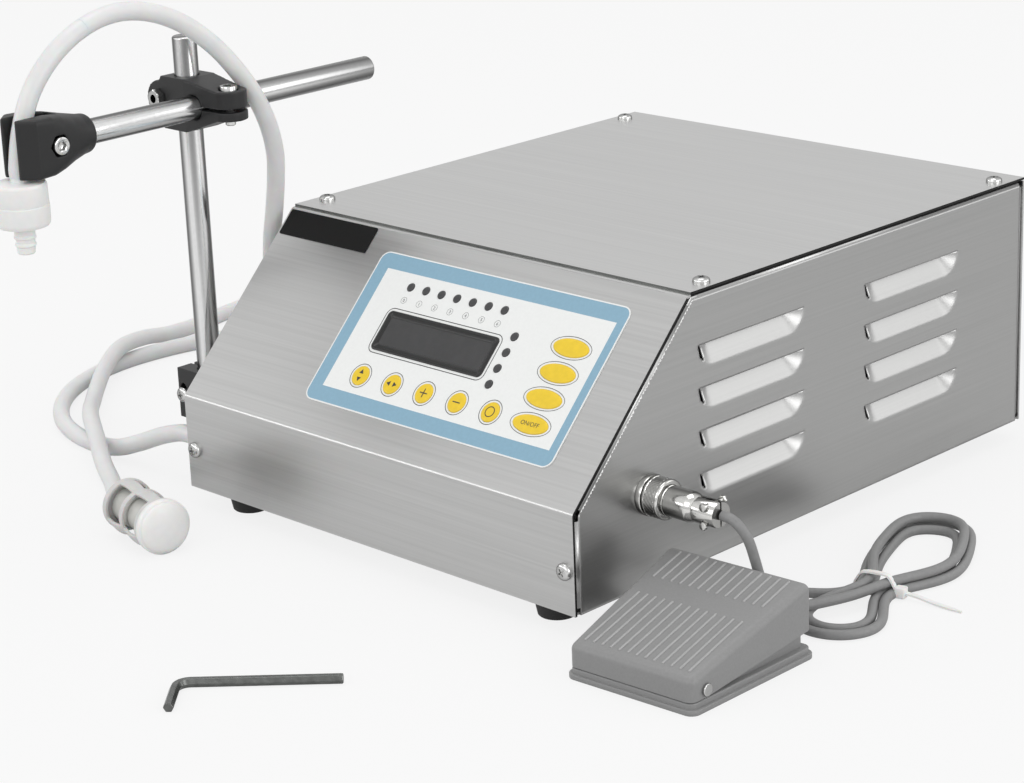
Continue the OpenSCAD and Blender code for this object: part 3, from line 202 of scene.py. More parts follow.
# Slot, name, colour, roughness, metallic, grain, tone, spread of the gloss, bump, its grain, its depth
FINISHES = {
    "sheet_x": ("stainless_sheet", "steel_brushed_across", STEEL, 0.34, 1, ACROSS, 0.05, 0.05, 0.25,
                SCRATCHES_ACROSS),
    "sheet_y": ("stainless_sheet", "steel_brushed_along", STEEL, 0.3, 1, ALONG, 0.05, 0.05, 0.25,
                SCRATCHES_ALONG),
    # Darker copy of the brushed steel for the side panels: painted shade.
    "side": ("stainless_sheet", "steel_brushed_side", (0.47, 0.47, 0.465), 0.33, 1, ALONG, 0.04, 0.05, 0.2,
             SCRATCHES_ALONG),
    # Lighter copy of the brushed steel for the top cover: painted light.
    "top": ("stainless_sheet", "steel_brushed_top", (0.61, 0.61, 0.605), 0.33, 1, ACROSS, 0.05, 0.05, 0.25,
            SCRATCHES_ACROSS),
    "rod": ("polished_rod", "steel_polished", 0.88, 0.2, 1, 500, 0.03, 0.03, 0.06),
    "screw": ("bright_screw", "steel_bright", (0.8, 0.8, 0.79), 0.17, 1, 900, 0.05, 0.04, 0.1),
    "nickel": ("nickel_fitting", "nickel_plating", (0.86, 0.855, 0.83), 0.12, 1, 400, 0.04, 0.04, 0.06),
    "zinc": ("zinc_sheet", "zinc_plating", (0.55, 0.56, 0.58), 0.36, 1, 300, 0.1, 0.08, 0.15),
    # Blackened steel of the hex key, and also the dark grey of the top cover's front edge, a painted seam
    # shade.
    "black_steel": ("black_bolt", "steel_blackened", (0.16, 0.165, 0.16), 0.26, 1, (40, 400, 400), 0.2, 0.05,
                    0.1),
    "rubber": ("black_rubber", "rubber_black", 0.018, 0.6, 0, 500, 0.2, 0.1, 0.3),
    "black": ("black_plastic", "plastic_black", (0.011, 0.011, 0.0115), 0.45, 0, 900, 0.12, 0.05, 0.35, 1800,
              0.00004),
    "gloss_black": ("rocker_plastic", "plastic_gloss_black", 0.012, 0.2, 0, 300, 0.1, 0.03, 0.05),
    "label": ("black_label", "label_black", 0.006, 0.5, 0, 400, 0.1, 0.03, 0.05),
    "blue": ("overlay_film", "film_blue", (0.232, 0.397, 0.513), 0.42, 0, 700, 0.03, 0.04, 0.12),
    "film": ("overlay_film", "film_white", (0.80, 0.81, 0.80), 0.4, 0, 700, 0.015, 0.04, 0.12),
    "ink": ("overlay_film", "ink_dark", (0.035, 0.035, 0.037), 0.45, 0, 900, 0.1, 0.04, 0.05),
    "glass": ("display", "display_glass", (0.042, 0.042, 0.043), 0.22, 0, 200, 0.08, 0.04, 0.03),
    "bezel": ("display", "display_bezel", 0.012, 0.3, 0, 300, 0.1, 0.04, 0.05),
    "lamp": ("lamp_lens", "lamp_lens", (0.045, 0.045, 0.047), 0.3, 0, 300, 0.08, 0.04, 0.05),
    "key": ("round_keys", "key_yellow", (0.80, 0.56, 0.022), 0.33, 0, 300, 0.05, 0.04, 0.06),
    "board": ("circuit_board", "circuit_board", (0.02, 0.16, 0.06), 0.4, 0, 500, 0.15, 0.05, 0.1),
    "motor": ("motor_steel", "motor_steel", (0.5, 0.5, 0.52), 0.35, 1, 200, 0.08, 0.06, 0.15),
    "pump": ("pump_plastic", "pump_plastic", (0.05, 0.06, 0.08), 0.4, 0, 500, 0.1, 0.05, 0.15),
    "silicone": ("silicone_hose", "silicone_milky", (0.80, 0.81, 0.81), 0.3, 0, 120, 0.02, 0.04, 0.05),
    "white": ("filter_plastic", "plastic_white", (0.83, 0.83, 0.82), 0.35, 0, 300, 0.015, 0.04, 0.08),
    "clear": ("filter_plastic", "plastic_natural", (0.66, 0.66, 0.65), 0.3, 0, 300, 0.03, 0.05, 0.1),
    "nylon": ("white_nylon", "nylon_white", (0.82, 0.82, 0.80), 0.38, 0, 300, 0.02, 0.04, 0.08),
    "cord": ("grey_cord", "cord_grey", 0.235, 0.46, 0, 500, 0.05, 0.05, 0.2),
    "pedal": ("pedal_grey", "pedal_grey", 0.245, 0.42, 0, 900, 0.04, 0.05, 0.35, 2200, 0.00005),
    # Lighter copy of the pedal's grey for the ribs: a painted highlight on their crests.
    "rib": ("pedal_grey", "pedal_rib_grey", 0.37, 0.36, 0, 900, 0.04, 0.05, 0.2),
    "core": ("filter_plastic", "filter_core", (0.56, 0.56, 0.53), 0.45, 0, 300, 0.04, 0.05, 0.1),
    # Near black steel for the sheets' cut edges at the seams and for the folds under the sheet over them:
    # painted shade.
    "shear": ("stainless_sheet", "sheared_edge", 0.035, 0.5, 1, 300, 0.1, 0.05, 0.1),
    "spring": ("spring_steel", "spring_steel", (0.45, 0.45, 0.46), 0.28, 1, 500, 0.05, 0.05, 0.1),
}
INPUTS = {
    "label": {"Specular_IOR_Level": 0.15},
    "silicone": {"Subsurface_Weight": 0.35, "Subsurface_Scale": 0.004, "Transmission_Weight": 0.12},
    "white": {"Subsurface_Weight": 0.3, "Subsurface_Scale": 0.003},
    "clear": {"Subsurface_Weight": 0.3, "Subsurface_Scale": 0.002, "Transmission_Weight": 0.1},
    "nylon": {"Subsurface_Weight": 0.2, "Subsurface_Scale": 0.001},
}
M = {key: finish_of(*row[1:], **INPUTS.get(key, {})) for key, row in FINISHES.items()}


def shade_edges(mat, stops):
    """Multiplies a material's colour by levels from its face to its grazing edges: a painted reflection, its
    bright bands a painted highlight and its dark bands painted shade.
    """
    tree = mat.node_tree
    bsdf = tree.nodes["Principled BSDF"]
    colour = bsdf.inputs["Base Color"].links[0].from_socket
    facing = add_node(tree, "LayerWeight", Blend=0.5)
    mix = tree.nodes.new("ShaderNodeMix")
    mix.data_type = "RGBA"
    mix.blend_type = "MULTIPLY"
    wire(tree, mix, Factor=1, A=colour, B=ramp_of(tree, facing.outputs["Facing"], stops))
    wire(tree, bsdf, Base_Color=mix.outputs["Result"])


# Painted reflection on the polished rods, the nickel fittings and the screws: bright and dark bands by the
# angle of view.
shade_edges(M["rod"], [(0.0, 0.36), (0.025, 0.5), (0.08, 1.0), (0.2, 1.0), (0.36, 0.5), (0.55, 0.16),
                       (0.8, 0.2), (1.0, 0.5)])
shade_edges(M["nickel"], [(0.0, 1.0), (0.1, 0.95), (0.3, 0.75), (0.5, 0.22), (0.75, 0.12), (1.0, 0.6)])
shade_edges(M["screw"], [(0.0, 1.0), (0.3, 0.8), (0.6, 0.35), (1.0, 0.3)])


# Drawing


def full_turn(n):
    return [2 * pi * i / n for i in range(n)]


def ellipse(a, b, n=64):
    return [(a * cos(t), b * sin(t)) for t in full_turn(n)]


def circle(r, n=48):
    return ellipse(r, r, n)


def polar(radius_at, n=48):
    return [(radius_at(a) * cos(a), radius_at(a) * sin(a)) for a in full_turn(n)]


def hexagon(af, n=48):
    """Six-sided outline with n points, af across its flats."""
    half = pi / 6
    return polar(lambda a: af / 2 / cos((a + half) % (2 * half) - half), n)


def rounded(w, h, r, n=8):
    """Rectangle about its centre with round corners."""
    out = []
    for across, up, start in ((1, 1, 0), (-1, 1, 90), (-1, -1, 180), (1, -1, 270)):
        for i in range(n + 1):
            a = radians(start + 90 * i / n)
            out.append((across * (w / 2 - r) + r * cos(a), up * (h / 2 - r) + r * sin(a)))
    return out


def row_of(bm, points):
    return [bm.verts.new(p) for p in points]


def skin(bm, rows, caps=(True, True), mat=0, kept=None):
    """Faces between closed rows of points and over the end rows; kept tells which of them stay."""
    n = len(rows[0])
    faces = []
    for j, (low, high) in enumerate(zip(rows, rows[1:])):
        faces += [bm.faces.new((low[i], low[(i + 1) % n], high[(i + 1) % n], high[i])) for i in range(n)
                  if kept is None or kept(i, j)]
    if caps[0]:
        faces.append(bm.faces.new(rows[0][::-1]))
    if caps[1]:
        faces.append(bm.faces.new(rows[-1]))
    for f in faces:
        f.material_index = mat


def add_rings(bm, place, rings, caps=(True, True), mat=0):
    """Skins rings, each an outline and a height, of equal counts of points."""
    skin(bm, [row_of(bm, (place @ Vector((x, y, z)) for x, y in outline)) for outline, z in rings], caps, mat)


def add_lathe(bm, place, profile, n=64, caps=(True, True)):
    """Turns a profile of radius and height about the local z axis."""
    add_rings(bm, place, [(circle(r, n), z) for r, z in profile], caps)


def add_plate(bm, place, outline, z0, z1, mat=0):
    add_rings(bm, place, [(outline, z0), (outline, z1)], mat=mat)


def add_frame(bm, place, outer, inner, z0, z1, mat=0):
    """Flat ring between two outlines of equal counts of points."""
    add_rings(bm, place, [(outer, z0), (outer, z1), (inner, z1), (inner, z0), (outer, z0)],
              (False, False), mat)


def ways_along(line):
    """Direction at each point of a line."""
    last = len(line) - 1
    return [(line[min(i + 1, last)] - line[max(i - 1, 0)]).normalized() for i in range(len(line))]


def add_tube(bm, line, radius, sides):
    """Round tube along a line, turned without twist."""
    ways = ways_along(line)
    side = ways[0].orthogonal().normalized()
    ring = circle(1, sides)
    rows = []
    for p, way in zip(line, ways):
        side = (side - side.dot(way) * way).normalized()
        up = way.cross(side)
        rows.append(row_of(bm, (p + radius * (c * side + s * up) for c, s in ring)))
    skin(bm, rows)


def smooth_line(points, step=1.5):
    """Points every step along a Catmull-Rom curve through points."""
    pts = [Vector(p) for p in points]
    pts = [2 * pts[0] - pts[1]] + pts + [2 * pts[-1] - pts[-2]]
    dense = []
    for p0, p1, p2, p3 in zip(pts, pts[1:], pts[2:], pts[3:]):
        count = max(4, int((p2 - p1).length * 4))
        for i in range(count):
            t = i / count
            dense.append(0.5 * (2 * p1 + (p2 - p0) * t + (2 * p0 - 5 * p1 + 4 * p2 - p3) * t * t
                                + (3 * p1 - p0 - 3 * p2 + p3) * t ** 3))
    dense.append(pts[-2])
    return evenly(dense, step)


def relaxed(line, first, last, passes):
    """The line with its curves eased, apart from so many points at each end."""
    line = [p.copy() for p in line]
    for _ in range(passes):
        inner = range(first, len(line) - last)
        line[first:-last] = [(line[i - 1] + 2 * line[i] + line[i + 1]) / 4 for i in inner]
    return line


def evenly(line, step):
    """The same line with its points a near equal step apart."""
    at = [0.0]
    for a, b in zip(line, line[1:]):
        at.append(at[-1] + (b - a).length)
    count = max(2, round(at[-1] / step))
    out, j = [], 0
    for i in range(count + 1):
        want = at[-1] * i / count
        while j < len(at) - 2 and at[j + 1] < want:
            j += 1
        span = at[j + 1] - at[j]
        out.append(line[j].lerp(line[j + 1], (want - at[j]) / span if span else 0))
    return out


def moved(bm, matrix):
    bmesh.ops.transform(bm, matrix=matrix, verts=bm.verts[:])


def sliced(bm, spot, way, **clear):
    geom = bm.verts[:] + bm.edges[:] + bm.faces[:]
    bmesh.ops.bisect_plane(bm, geom=geom, plane_co=spot, plane_no=way, dist=1e-5, **clear)


def shaded(obj, angle):
    """Smooth shading with the sharp edges kept."""
    obj.data.shade_smooth()
    obj.data.set_sharp_from_angle(angle=radians(angle))


def drawn(name, bm):
    """Object in metres of what was drawn in millimetres."""
    bmesh.ops.recalc_face_normals(bm, faces=bm.faces[:])
    mesh = bpy.data.meshes.new(name)
    bm.to_mesh(mesh)
    bm.free()
    mesh.transform(TO_METRES)
    return in_scene(name, mesh)


def piece(name, bm, mats, node, angle=38, rides=True):
    """Turns a drawing into a piece that stands for a CAD node and rides on its body."""
    obj = drawn(name, bm)
    mats = [mats] if isinstance(mats, str) else mats
    for key in mats:
        obj.data.materials.append(M[key])
    shaded(obj, angle)
    if rides:
        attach(obj, nodes[node]["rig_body"])
    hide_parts(node)
    return obj


def lathed(name, place, profile, n, mats, node, angle):
    """Piece of one turned profile."""
    bm = bmesh.new()
    add_lathe(bm, place, profile, n)
    return piece(name, bm, mats, node, angle)


def cad_mesh(node, clean=2.0):
    """Copy of a CAD node's surface in millimetres, with its facets joined where flat."""
    bm = bmesh.new()
    bm.from_mesh(nodes[node].data)
    for layers in (bm.loops.layers, bm.verts.layers):
        for kind in ("float_vector", "float", "int", "uv", "color", "float_color"):
            group = getattr(layers, kind, None)
            while group is not None and len(group):
                group.remove(group[0])
    moved(bm, Matrix.Scale(1 / MM, 4))
    bmesh.ops.remove_doubles(bm, verts=bm.verts[:], dist=0.002)
    if clean:
        bmesh.ops.dissolve_limit(bm, angle_limit=radians(clean), verts=bm.verts[:], edges=bm.edges[:])
    return bm


def bevelled(obj, width, segments, angle, harden):
    """Eases the edges that are sharper than an angle."""
    bevel = obj.modifiers.new("edges", "BEVEL")
    bevel.width = width * MM
    bevel.segments = segments
    bevel.limit_method = "ANGLE"
    bevel.angle_limit = radians(angle)
    bevel.harden_normals = harden


def thickened(obj, name, thickness):
    """Gives a drawn outer face its thickness inwards."""
    wall = obj.modifiers.new(name, "SOLIDIFY")
    wall.thickness = thickness * MM
    wall.offset = -1


def softened(obj, voxel):
    """Rounds all the edges, as of a moulding."""
    remesh = obj.modifiers.new("skin", "REMESH")
    remesh.mode = "VOXEL"
    remesh.voxel_size = voxel * MM
    remesh.use_smooth_shade = True
    soften = obj.modifiers.new("soften", "SMOOTH")
    soften.factor = 0.5
    soften.iterations = 5


def dressed(node, mat, edge=0.3, angle=35):
    """CAD node with its edges eased and a finish of its own."""
    obj = piece(node + "_finish", cad_mesh(node), mat, node, angle)
    if edge:
        bevelled(obj, edge, 3, 40, True)


def final_mesh(obj):
    """New mesh of an object with its modifiers applied."""
    bpy.context.view_layer.update()
    return bpy.data.meshes.new_from_object(obj.evaluated_get(bpy.context.evaluated_depsgraph_get()))


# Cords

HOSE_R, CORD_R = 4.5, 2.3
INLET_ROUTE = [
    (-142.3, -145, 25.5), (-148, -145, 25.5), (-162, -144.6, 24.7), (-179, -144.5, 19.5), (-197, -145.5, 12),
    (-215, -147.5, 6),
    (-236, -148, 4.5), (-259, -143.5, 4.5), (-281, -133.5, 4.5), (-301, -118, 4.5), (-317, -98.5, 4.5),
    (-328, -75.5, 4.5), (-334, -50, 4.5), (-334, -24, 4.5), (-329, 2, 4.5), (-318, 28, 4.5),
    (-305, 52, 4.5), (-294, 77, 4.5), (-290, 101, 4.5), (-295, 124.5, 4.5), (-309.5, 140.5, 4.5),
    (-329, 146.5, 4.5), (-348.5, 140.5, 4.5), (-363, 124.5, 4.5), (-368.5, 101, 4.5), (-367, 76, 4.5),
    (-363, 50, 4.5), (-357.5, 24, 4.5), (-350.5, -4, 7), (-342.5, -29, 12), (-332.5, -53, 14.2),
    (-319.5, -74, 10.5), (-303.5, -92.5, 6.5), (-284.5, -110, 6.5), (-264.5, -126, 11), (-244, -141, 14.4),
    (-222, -154.5, 12.5), (-199, -168, 7), (-175, -181, 6), (-154, -194.5, 9), (-135, -205.8, 13.5),
    (-128.4, -207.4, 13.5),
]
OUTLET_ROUTE = [
    (-147, -91, 86), (-147, -91, 101), (-145.5, -91, 117), (-142, -91, 133), (-137.5, -92.5, 149),
    (-132.5, -96, 164.5), (-129, -102, 180), (-128, -109.5, 195), (-129.5, -119, 210), (-133, -130.5, 224.5),
    (-136.5, -146, 237), (-139, -163.5, 244.5), (-140, -182, 246.5), (-140, -200.5, 242.5),
    (-140, -217.5, 233), (-140, -231, 219), (-140, -239, 202), (-140, -242.5, 186),
    (-140, -242.5, 181.3),
]
PLUG_ROUTE = [
    (172, -117.5, 52.5), (177, -117.5, 52), (182, -117, 48.8), (185, -115.5, 43), (186.5, -113.5, 34.5),
    (187.5, -110.5, 24), (188.5, -105, 13.5), (189, -96, 6),
]
PEDAL_ROUTE = [
    (161.9, -112.1, 9.5), (161.6, -107, 9.4), (161.4, -100.5, 8), (161.6, -92, 5.2), (164, -82, 2.5),
    (169, -73.5, 2.3), (177, -67, 2.3), (187, -63, 2.3),
]
# Hank of the pedal cord: centres of its near loop, waist, belly and far loop
HANK = [Vector((203, -81)), Vector((199, -46)), Vector((196, -15)), Vector((179, 24))]


def hank_outline():
    """One turn, clockwise from the left of the neck: places at no inset, and their change with the inset."""
    neck = (HANK[0] + HANK[1]) / 2
    tilt = radians(15)
    at_neck, at_waist = (HANK[1] - HANK[0]).normalized(), Vector((-sin(tilt), cos(tilt)))
    at_belly, at_far = (HANK[3] - HANK[1]).normalized(), (HANK[3] - HANK[2]).normalized()
    sides = [(neck, at_neck, 14.6, 1.1), (HANK[1], at_waist, 7.2, 1.02), (HANK[2], at_belly, 20.8, 1.15)]
    spots = [(centre, way, 0, reach, change) for centre, way, reach, change in sides]
    far_loop = ((0, 1.3), (45, 2.1), (90, 2.7), (135, 1.9), (180, 1.3))
    spots += [(HANK[3], at_far, a, 18.6, c) for a, c in far_loop]
    spots += [(centre, way, 180, reach, change) for centre, way, reach, change in sides[::-1]]
    near_loop = ((180, 1.15), (225, 1.3), (270, 1.3), (315, 1.2), (360, 1.1))
    spots += [(HANK[0], at_neck, a, 23.4, c) for a, c in near_loop]
    out = []
    for centre, way, a, reach, change in spots:
        left = Vector((-way.y, way.x))
        side = cos(radians(a)) * left + sin(radians(a)) * way
        out.append((centre + reach * side, -change * side))
    return out


OUTLINE = hank_outline()
TURNS, LAYER = 2.5, 4.72


def eased(u, a, b):
    t = min(1, max(0, (u - a) / (b - a)))
    return t * t * (3 - 2 * t)


def hank_point(u):
    """Place on the wound cord after u turns."""
    layers = eased(u, 0.66, 0.95) + eased(u, 1.66, 1.95) - 1.5 * eased(u, 1.99, 2.13)
    z = CORD_R + 4.95 * eased(u, 1.88, 2.02) - 0.6 * eased(u, 2.1, 2.25)
    place, change = OUTLINE[int(u * len(OUTLINE)) % len(OUTLINE)]
    spot = place + LAYER * layers * change
    return Vector((spot.x, spot.y, z))


def pedal_cord_line():
    n = len(OUTLINE)
    turns = [hank_point(i / n + 1e-6) for i in range(1, int(TURNS * n) + 2)]
    leave = [(203.8, -58, 6.9), (200.5, -72, 7.0), (195, -85.5, 7.2)]
    return smooth_line(PEDAL_ROUTE + turns + leave + PLUG_ROUTE[::-1], 1.2)


def cord_curve(name, line, radius, key, body, stands_for):
    """Curve of one open spline through a dense line in millimetres."""
    data = bpy.data.curves.new(name, "CURVE")
    data.dimensions = "3D"
    data.bevel_depth = radius * MM
    data.bevel_resolution = 6
    data.use_fill_caps = True
    spline = data.splines.new("POLY")
    spline.points.add(len(line) - 1)
    for point, p in zip(spline.points, line):
        point.co = (*(p * MM), 1)
    spline.use_smooth = True
    obj = in_scene(name, data)
    data.materials.append(M[key])
    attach(obj, body)
    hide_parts(*stands_for)
    return obj


# Floor, world and lamps


def lay_floor():
    """Pale floor that glows where the camera sees it, and in reflections glows less towards its back,
    painting shade into what the case reflects.
    """
    mat = bpy.data.materials.new("floor_pale")
    mat.use_nodes = True
    tree = mat.node_tree
    bsdf = wire(tree, tree.nodes["Principled BSDF"], Base_Color=(0.62, 0.62, 0.62, 1), Roughness=0.9,
                Specular_IOR_Level=0.1)
    path = add_node(tree, "LightPath").outputs
    seen = in_order(tree, "Math", "MAXIMUM", path["Is Camera Ray"], path["Is Transmission Ray"])
    split = add_node(tree, "SeparateXYZ", Vector=add_node(tree, "TexCoord").outputs["Object"])
    # Painted shade in reflections: the glow seen by glossy rays fades from the floor's front to its back.
    painted_shade_fade = add_node(tree, "MapRange", Value=split.outputs["Y"], From_Min=-0.35, From_Max=0.55, To_Min=0.42,
                    To_Max=0.0)
    painted_shade_fade.interpolation_type = "SMOOTHSTEP"
    mirrored = in_order(tree, "Math", "MULTIPLY", path["Is Glossy Ray"], painted_shade_fade.outputs["Result"])
    glow = in_order(tree, "Math", "MAXIMUM", seen, mirrored)
    share = in_order(tree, "Math", "MULTIPLY", glow, 0.82)
    light = add_node(tree, "Emission", Color=(1, 1, 1, 1))
    out = in_order(tree, "MixShader", None, share, bsdf.outputs["BSDF"], light.outputs["Emission"])
    wire(tree, tree.nodes["Material Output"], Surface=out)
    bm = bmesh.new()
    bmesh.ops.create_circle(bm, cap_ends=True, segments=96, radius=14)
    mesh = bpy.data.meshes.new("floor")
    bm.to_mesh(mesh)
    bm.free()
    mesh.materials.append(mat)
    in_scene("floor", mesh)


def light_world():
    world = bpy.data.worlds.new("studio")
    scene.world = world
    world.use_nodes = True
    tree = world.node_tree
    split = add_node(tree, "SeparateXYZ", Vector=add_node(tree, "TexCoord").outputs["Generated"])
    sky = ramp_of(tree, split.outputs["Z"], [(0.0, 0.62), (0.12, 0.8), (0.34, 1.0), (0.7, 1.0), (1.0, 0.75)])
    wire(tree, tree.nodes["Background"], Color=sky, Strength=0.84)


def softbox(name, place, size, watts):
    data = bpy.data.lights.new(name, "AREA")
    data.shape = "RECTANGLE"
    data.size, data.size_y = size
    data.energy = watts
    lamp = in_scene(name, data)
    way = Vector((0, 0, 0.1)) - Vector(place)
    lamp.rotation_euler = way.normalized().to_track_quat("-Z", "Y").to_euler()
    lamp.location = place


lay_floor()
light_world()
softbox("softbox_front", (0.3, -2.6, 1.6), (2.0, 1.4), 12)
softbox("strip_front_left", (-2.1, -2.1, 1.05), (2.2, 0.45), 9)
softbox("softbox_right", (2.6, 0.1, 0.95), (1.4, 1.4), 14)
softbox("softbox_back_right", (2.0, 2.15, 1.1), (1.4, 1.6), 7)
softbox("softbox_top", (-0.2, 0.1, 2.6), (1.6, 1.6), 14)
scene.view_settings.view_transform = "Standard"


# Flexible hoses and the pedal's cord

inlet_line = smooth_line(INLET_ROUTE)
pedal_line = relaxed(pedal_cord_line(), 10, 30, 85)
outlet_line = smooth_line(OUTLET_ROUTE)
inlet_hose = cord_curve("inlet_hose_tube", inlet_line, HOSE_R, "silicone", "cabinet", ["inlet_hose"])
pedal_cord = cord_curve("pedal_cord_sheath", pedal_line, CORD_R, "cord", "cabinet",
                        ["pedal_cord", "cord_hank"])


def outlet_hose():
    """Hose from the pump's outlet to the nozzle, in four runs cut at the joins between the moving bodies."""
    chain = ["cabinet", "stand", "clamp", "arm", "nozzle"]
    joins = ((-145.5, -91, 120), (-133, -130.5, 224.5), (-140, -200.5, 242.5))

    def nearest(join):
        return min(range(len(outlet_line)), key=lambda i: (outlet_line[i] - Vector(join)).length)

    cuts = [0, *map(nearest, joins), len(outlet_line) - 1]
    for i, (a, b) in enumerate(zip(chain, chain[1:])):
        run = outlet_line[cuts[i]:cuts[i + 1] + 1]
        bm = bmesh.new()
        add_tube(bm, run, HOSE_R, 28)
        obj = piece("outlet_hose_run_%d" % (i + 1), bm, "silicone", "outlet_hose", rides=False)
        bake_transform(obj)


outlet_hose()


# Local frames of the assemblies

STAND = CAB @ shift(-25, 36.5, 0)
CLAMP = STAND @ shift(0, 0, 184)
ARM = CAB @ shift(-10, -55, 184)
SOCKET = CAB @ shift(CAB_W, 48.5, 42.5) @ ALONG_X
PEDAL = shift(187, -195, 0) @ turn(3.5, "Z")
FILTER = shift(-128, -207.5, 13.5) @ turn(-12.5, "Z") @ ALONG_X


# Fasteners


def cross_shape(half, reach, n=48):
    """Outline of a cross recess."""
    quarter = pi / 2

    def reach_at(a):
        b = (a + quarter / 2) % quarter - quarter / 2
        return min(reach / cos(b), half / max(abs(sin(b)), 1e-6), 1.5 * reach)

    return polar(reach_at, n)


def circles(pairs, n=48):
    """Round rings for add_rings, from pairs of a radius and a height."""
    return [(circle(r, n), z) for r, z in pairs]


def add_shank(bm, place, r, length):
    if length:
        add_lathe(bm, place, [(r - 0.4, -length), (r, 0.4 - length), (r, 0.1)], 24)


def add_pan_screw(bm, place, shank=0.0, spin=20):
    place = place @ turn(spin, "Z")
    rings = circles([(4.0, 0), (4.0, 0.8), (3.85, 1.35), (3.45, 1.85), (2.9, 2.2), (2.3, 2.38)])
    rings += [(cross_shape(0.42, 1.9), 2.42), (cross_shape(0.40, 1.8), 1.2), (circle(0.3), 1.0)]
    add_rings(bm, place, rings)
    add_shank(bm, place, 2, shank)


def add_socket_bolt(bm, place, shank=0.0):
    rings = circles([(4.05, 0), (4.25, 0.2), (4.25, 4.5), (4.05, 4.85), (3.7, 5.0), (2.7, 5.0)])
    rings += [(hexagon(4.15), 4.75), (hexagon(4.0), 2.6), (circle(0.4), 2.1)]
    add_rings(bm, place, rings)
    add_shank(bm, place, 2.5, shank)


def add_nut(bm, place, across, height):
    low = circle(across / 2 - 0.2)
    add_rings(bm, place, [(low, 0), (hexagon(across), 0.35), (hexagon(across), height - 0.35), (low, height)])


FOOT_PLACES = [(x, y) for x in (26, CAB_W - 26) for y in (16, CAB_D - 16)]
SCREW_X, SCREW_Y, SCREW_Z, FRONT_SCREW_X = 7, 16, 20, 5.5


def case_screws():
    bm = bmesh.new()
    spins = iter(range(7, 400, 23))  # each cross recess points another way, in degrees
    for x in (SCREW_X, CAB_W - SCREW_X):
        for y in (SLOPE_RUN + SCREW_Y, CAB_D - SCREW_Y):
            add_pan_screw(bm, CAB @ shift(x, y, CAB_H), 8, next(spins))
        for z in (SCREW_Z, CAB_H - SCREW_Z):
            add_pan_screw(bm, CAB @ shift(x, CAB_D, z) @ ALONG_Y, 8, next(spins))
    for x in (FRONT_SCREW_X, CAB_W - FRONT_SCREW_X):
        add_pan_screw(bm, CAB @ shift(x, 0, SCREW_Z) @ TO_FRONT, 8, next(spins))
    for z in (27, 41):
        add_pan_screw(bm, CAB @ shift(SHEET, 36.5, z) @ ALONG_X, 10, next(spins))
    add_pan_screw(bm, STAND @ shift(-9.5, -10, 33.4) @ TO_FRONT, 18, next(spins))
    piece("case_screw_set", bm, "screw", "case_screws", 28)


def foot_fasteners():
    bm = bmesh.new()
    for x, y in FOOT_PLACES:
        add_pan_screw(bm, CAB @ shift(x, y, -3.6) @ turn(180, "X"), 9)
        add_nut(bm, CAB @ shift(x, y, SHEET), 7, 3.2)
    piece("foot_screw_set", bm, "screw", "foot_screws", 28)


def feet():
    bm = bmesh.new()
    profile = [(4.9, -10), (8.5, -10), (9.0, -9.5), (9.4, -7.5), (10.7, -0.8), (10.9, -0.2), (10.9, 0),
               (2.2, 0), (2.2, -3.6), (4.3, -3.6), (4.3, -6.2), (4.6, -6.2), (4.6, -10), (4.9, -10)]
    for x, y in FOOT_PLACES:
        add_lathe(bm, CAB @ shift(x, y, 0), profile, 56, (False, False))
    piece("rubber_foot_set", bm, "rubber", "rubber_feet")


case_screws()
foot_fasteners()
feet()


# Sheet metal of the case

LOUVRE_L, LOUVRE_H, LOUVRE_DEPTH, LOUVRE_END = 75.5, 10.5, 5.2, 12
LOUVRE_TOPS = [101.5 - 20 * k for k in range(4)]
DOWN_SLOPE = Vector((0, -sin(SLOPE_A), cos(SLOPE_A)))


def louvre_push(y, z, columns):
    """How deep a side panel is pressed in at y and z, in millimetres."""
    best = 0.0
    for y0 in columns:
        for top in LOUVRE_TOPS:
            v = top - z
            u = min(y - y0, y0 + LOUVRE_L - y)
            if -1e-6 <= v < LOUVRE_H and u > -1e-6:
                rho = hypot(max(0.0, LOUVRE_END - u) / LOUVRE_END, v / LOUVRE_H)
                if rho < 1:
                    best = max(best, LOUVRE_DEPTH * (1 - rho ** 1.25))
    return best


def grid_lines(stops, fine):
    """Ascending numbers through all stops, no further apart than fine."""
    out = [stops[0]]
    for a, b in zip(stops, stops[1:]):
        count = max(1, ceil((b - a) / fine))
        out += [a + (b - a) * i / count for i in range(1, count + 1)]
    return out


def mark_shaded(bm):
    """Gives the second material, near black, to the part of a fold that lies in the shade of the sheet over
    it: painted shade.
    """
    under = SHEET + 1.15
    for f in bm.faces:
        c = f.calc_center_median()
        if c.z > CAB_H - under or (c - Vector((0, 0, FRONT_H))).dot(DOWN_SLOPE) > -under:
            f.material_index = 1


def torn_open(y, z, columns):
    """True where the short front end of a louvre is torn open."""
    return any(((y - y0 - 3.0 - 0.25 * (top - z)) / 1.9) ** 2 + ((top - z - 3.9) / 3.7) ** 2 < 1
               for y0 in columns for top in LOUVRE_TOPS)


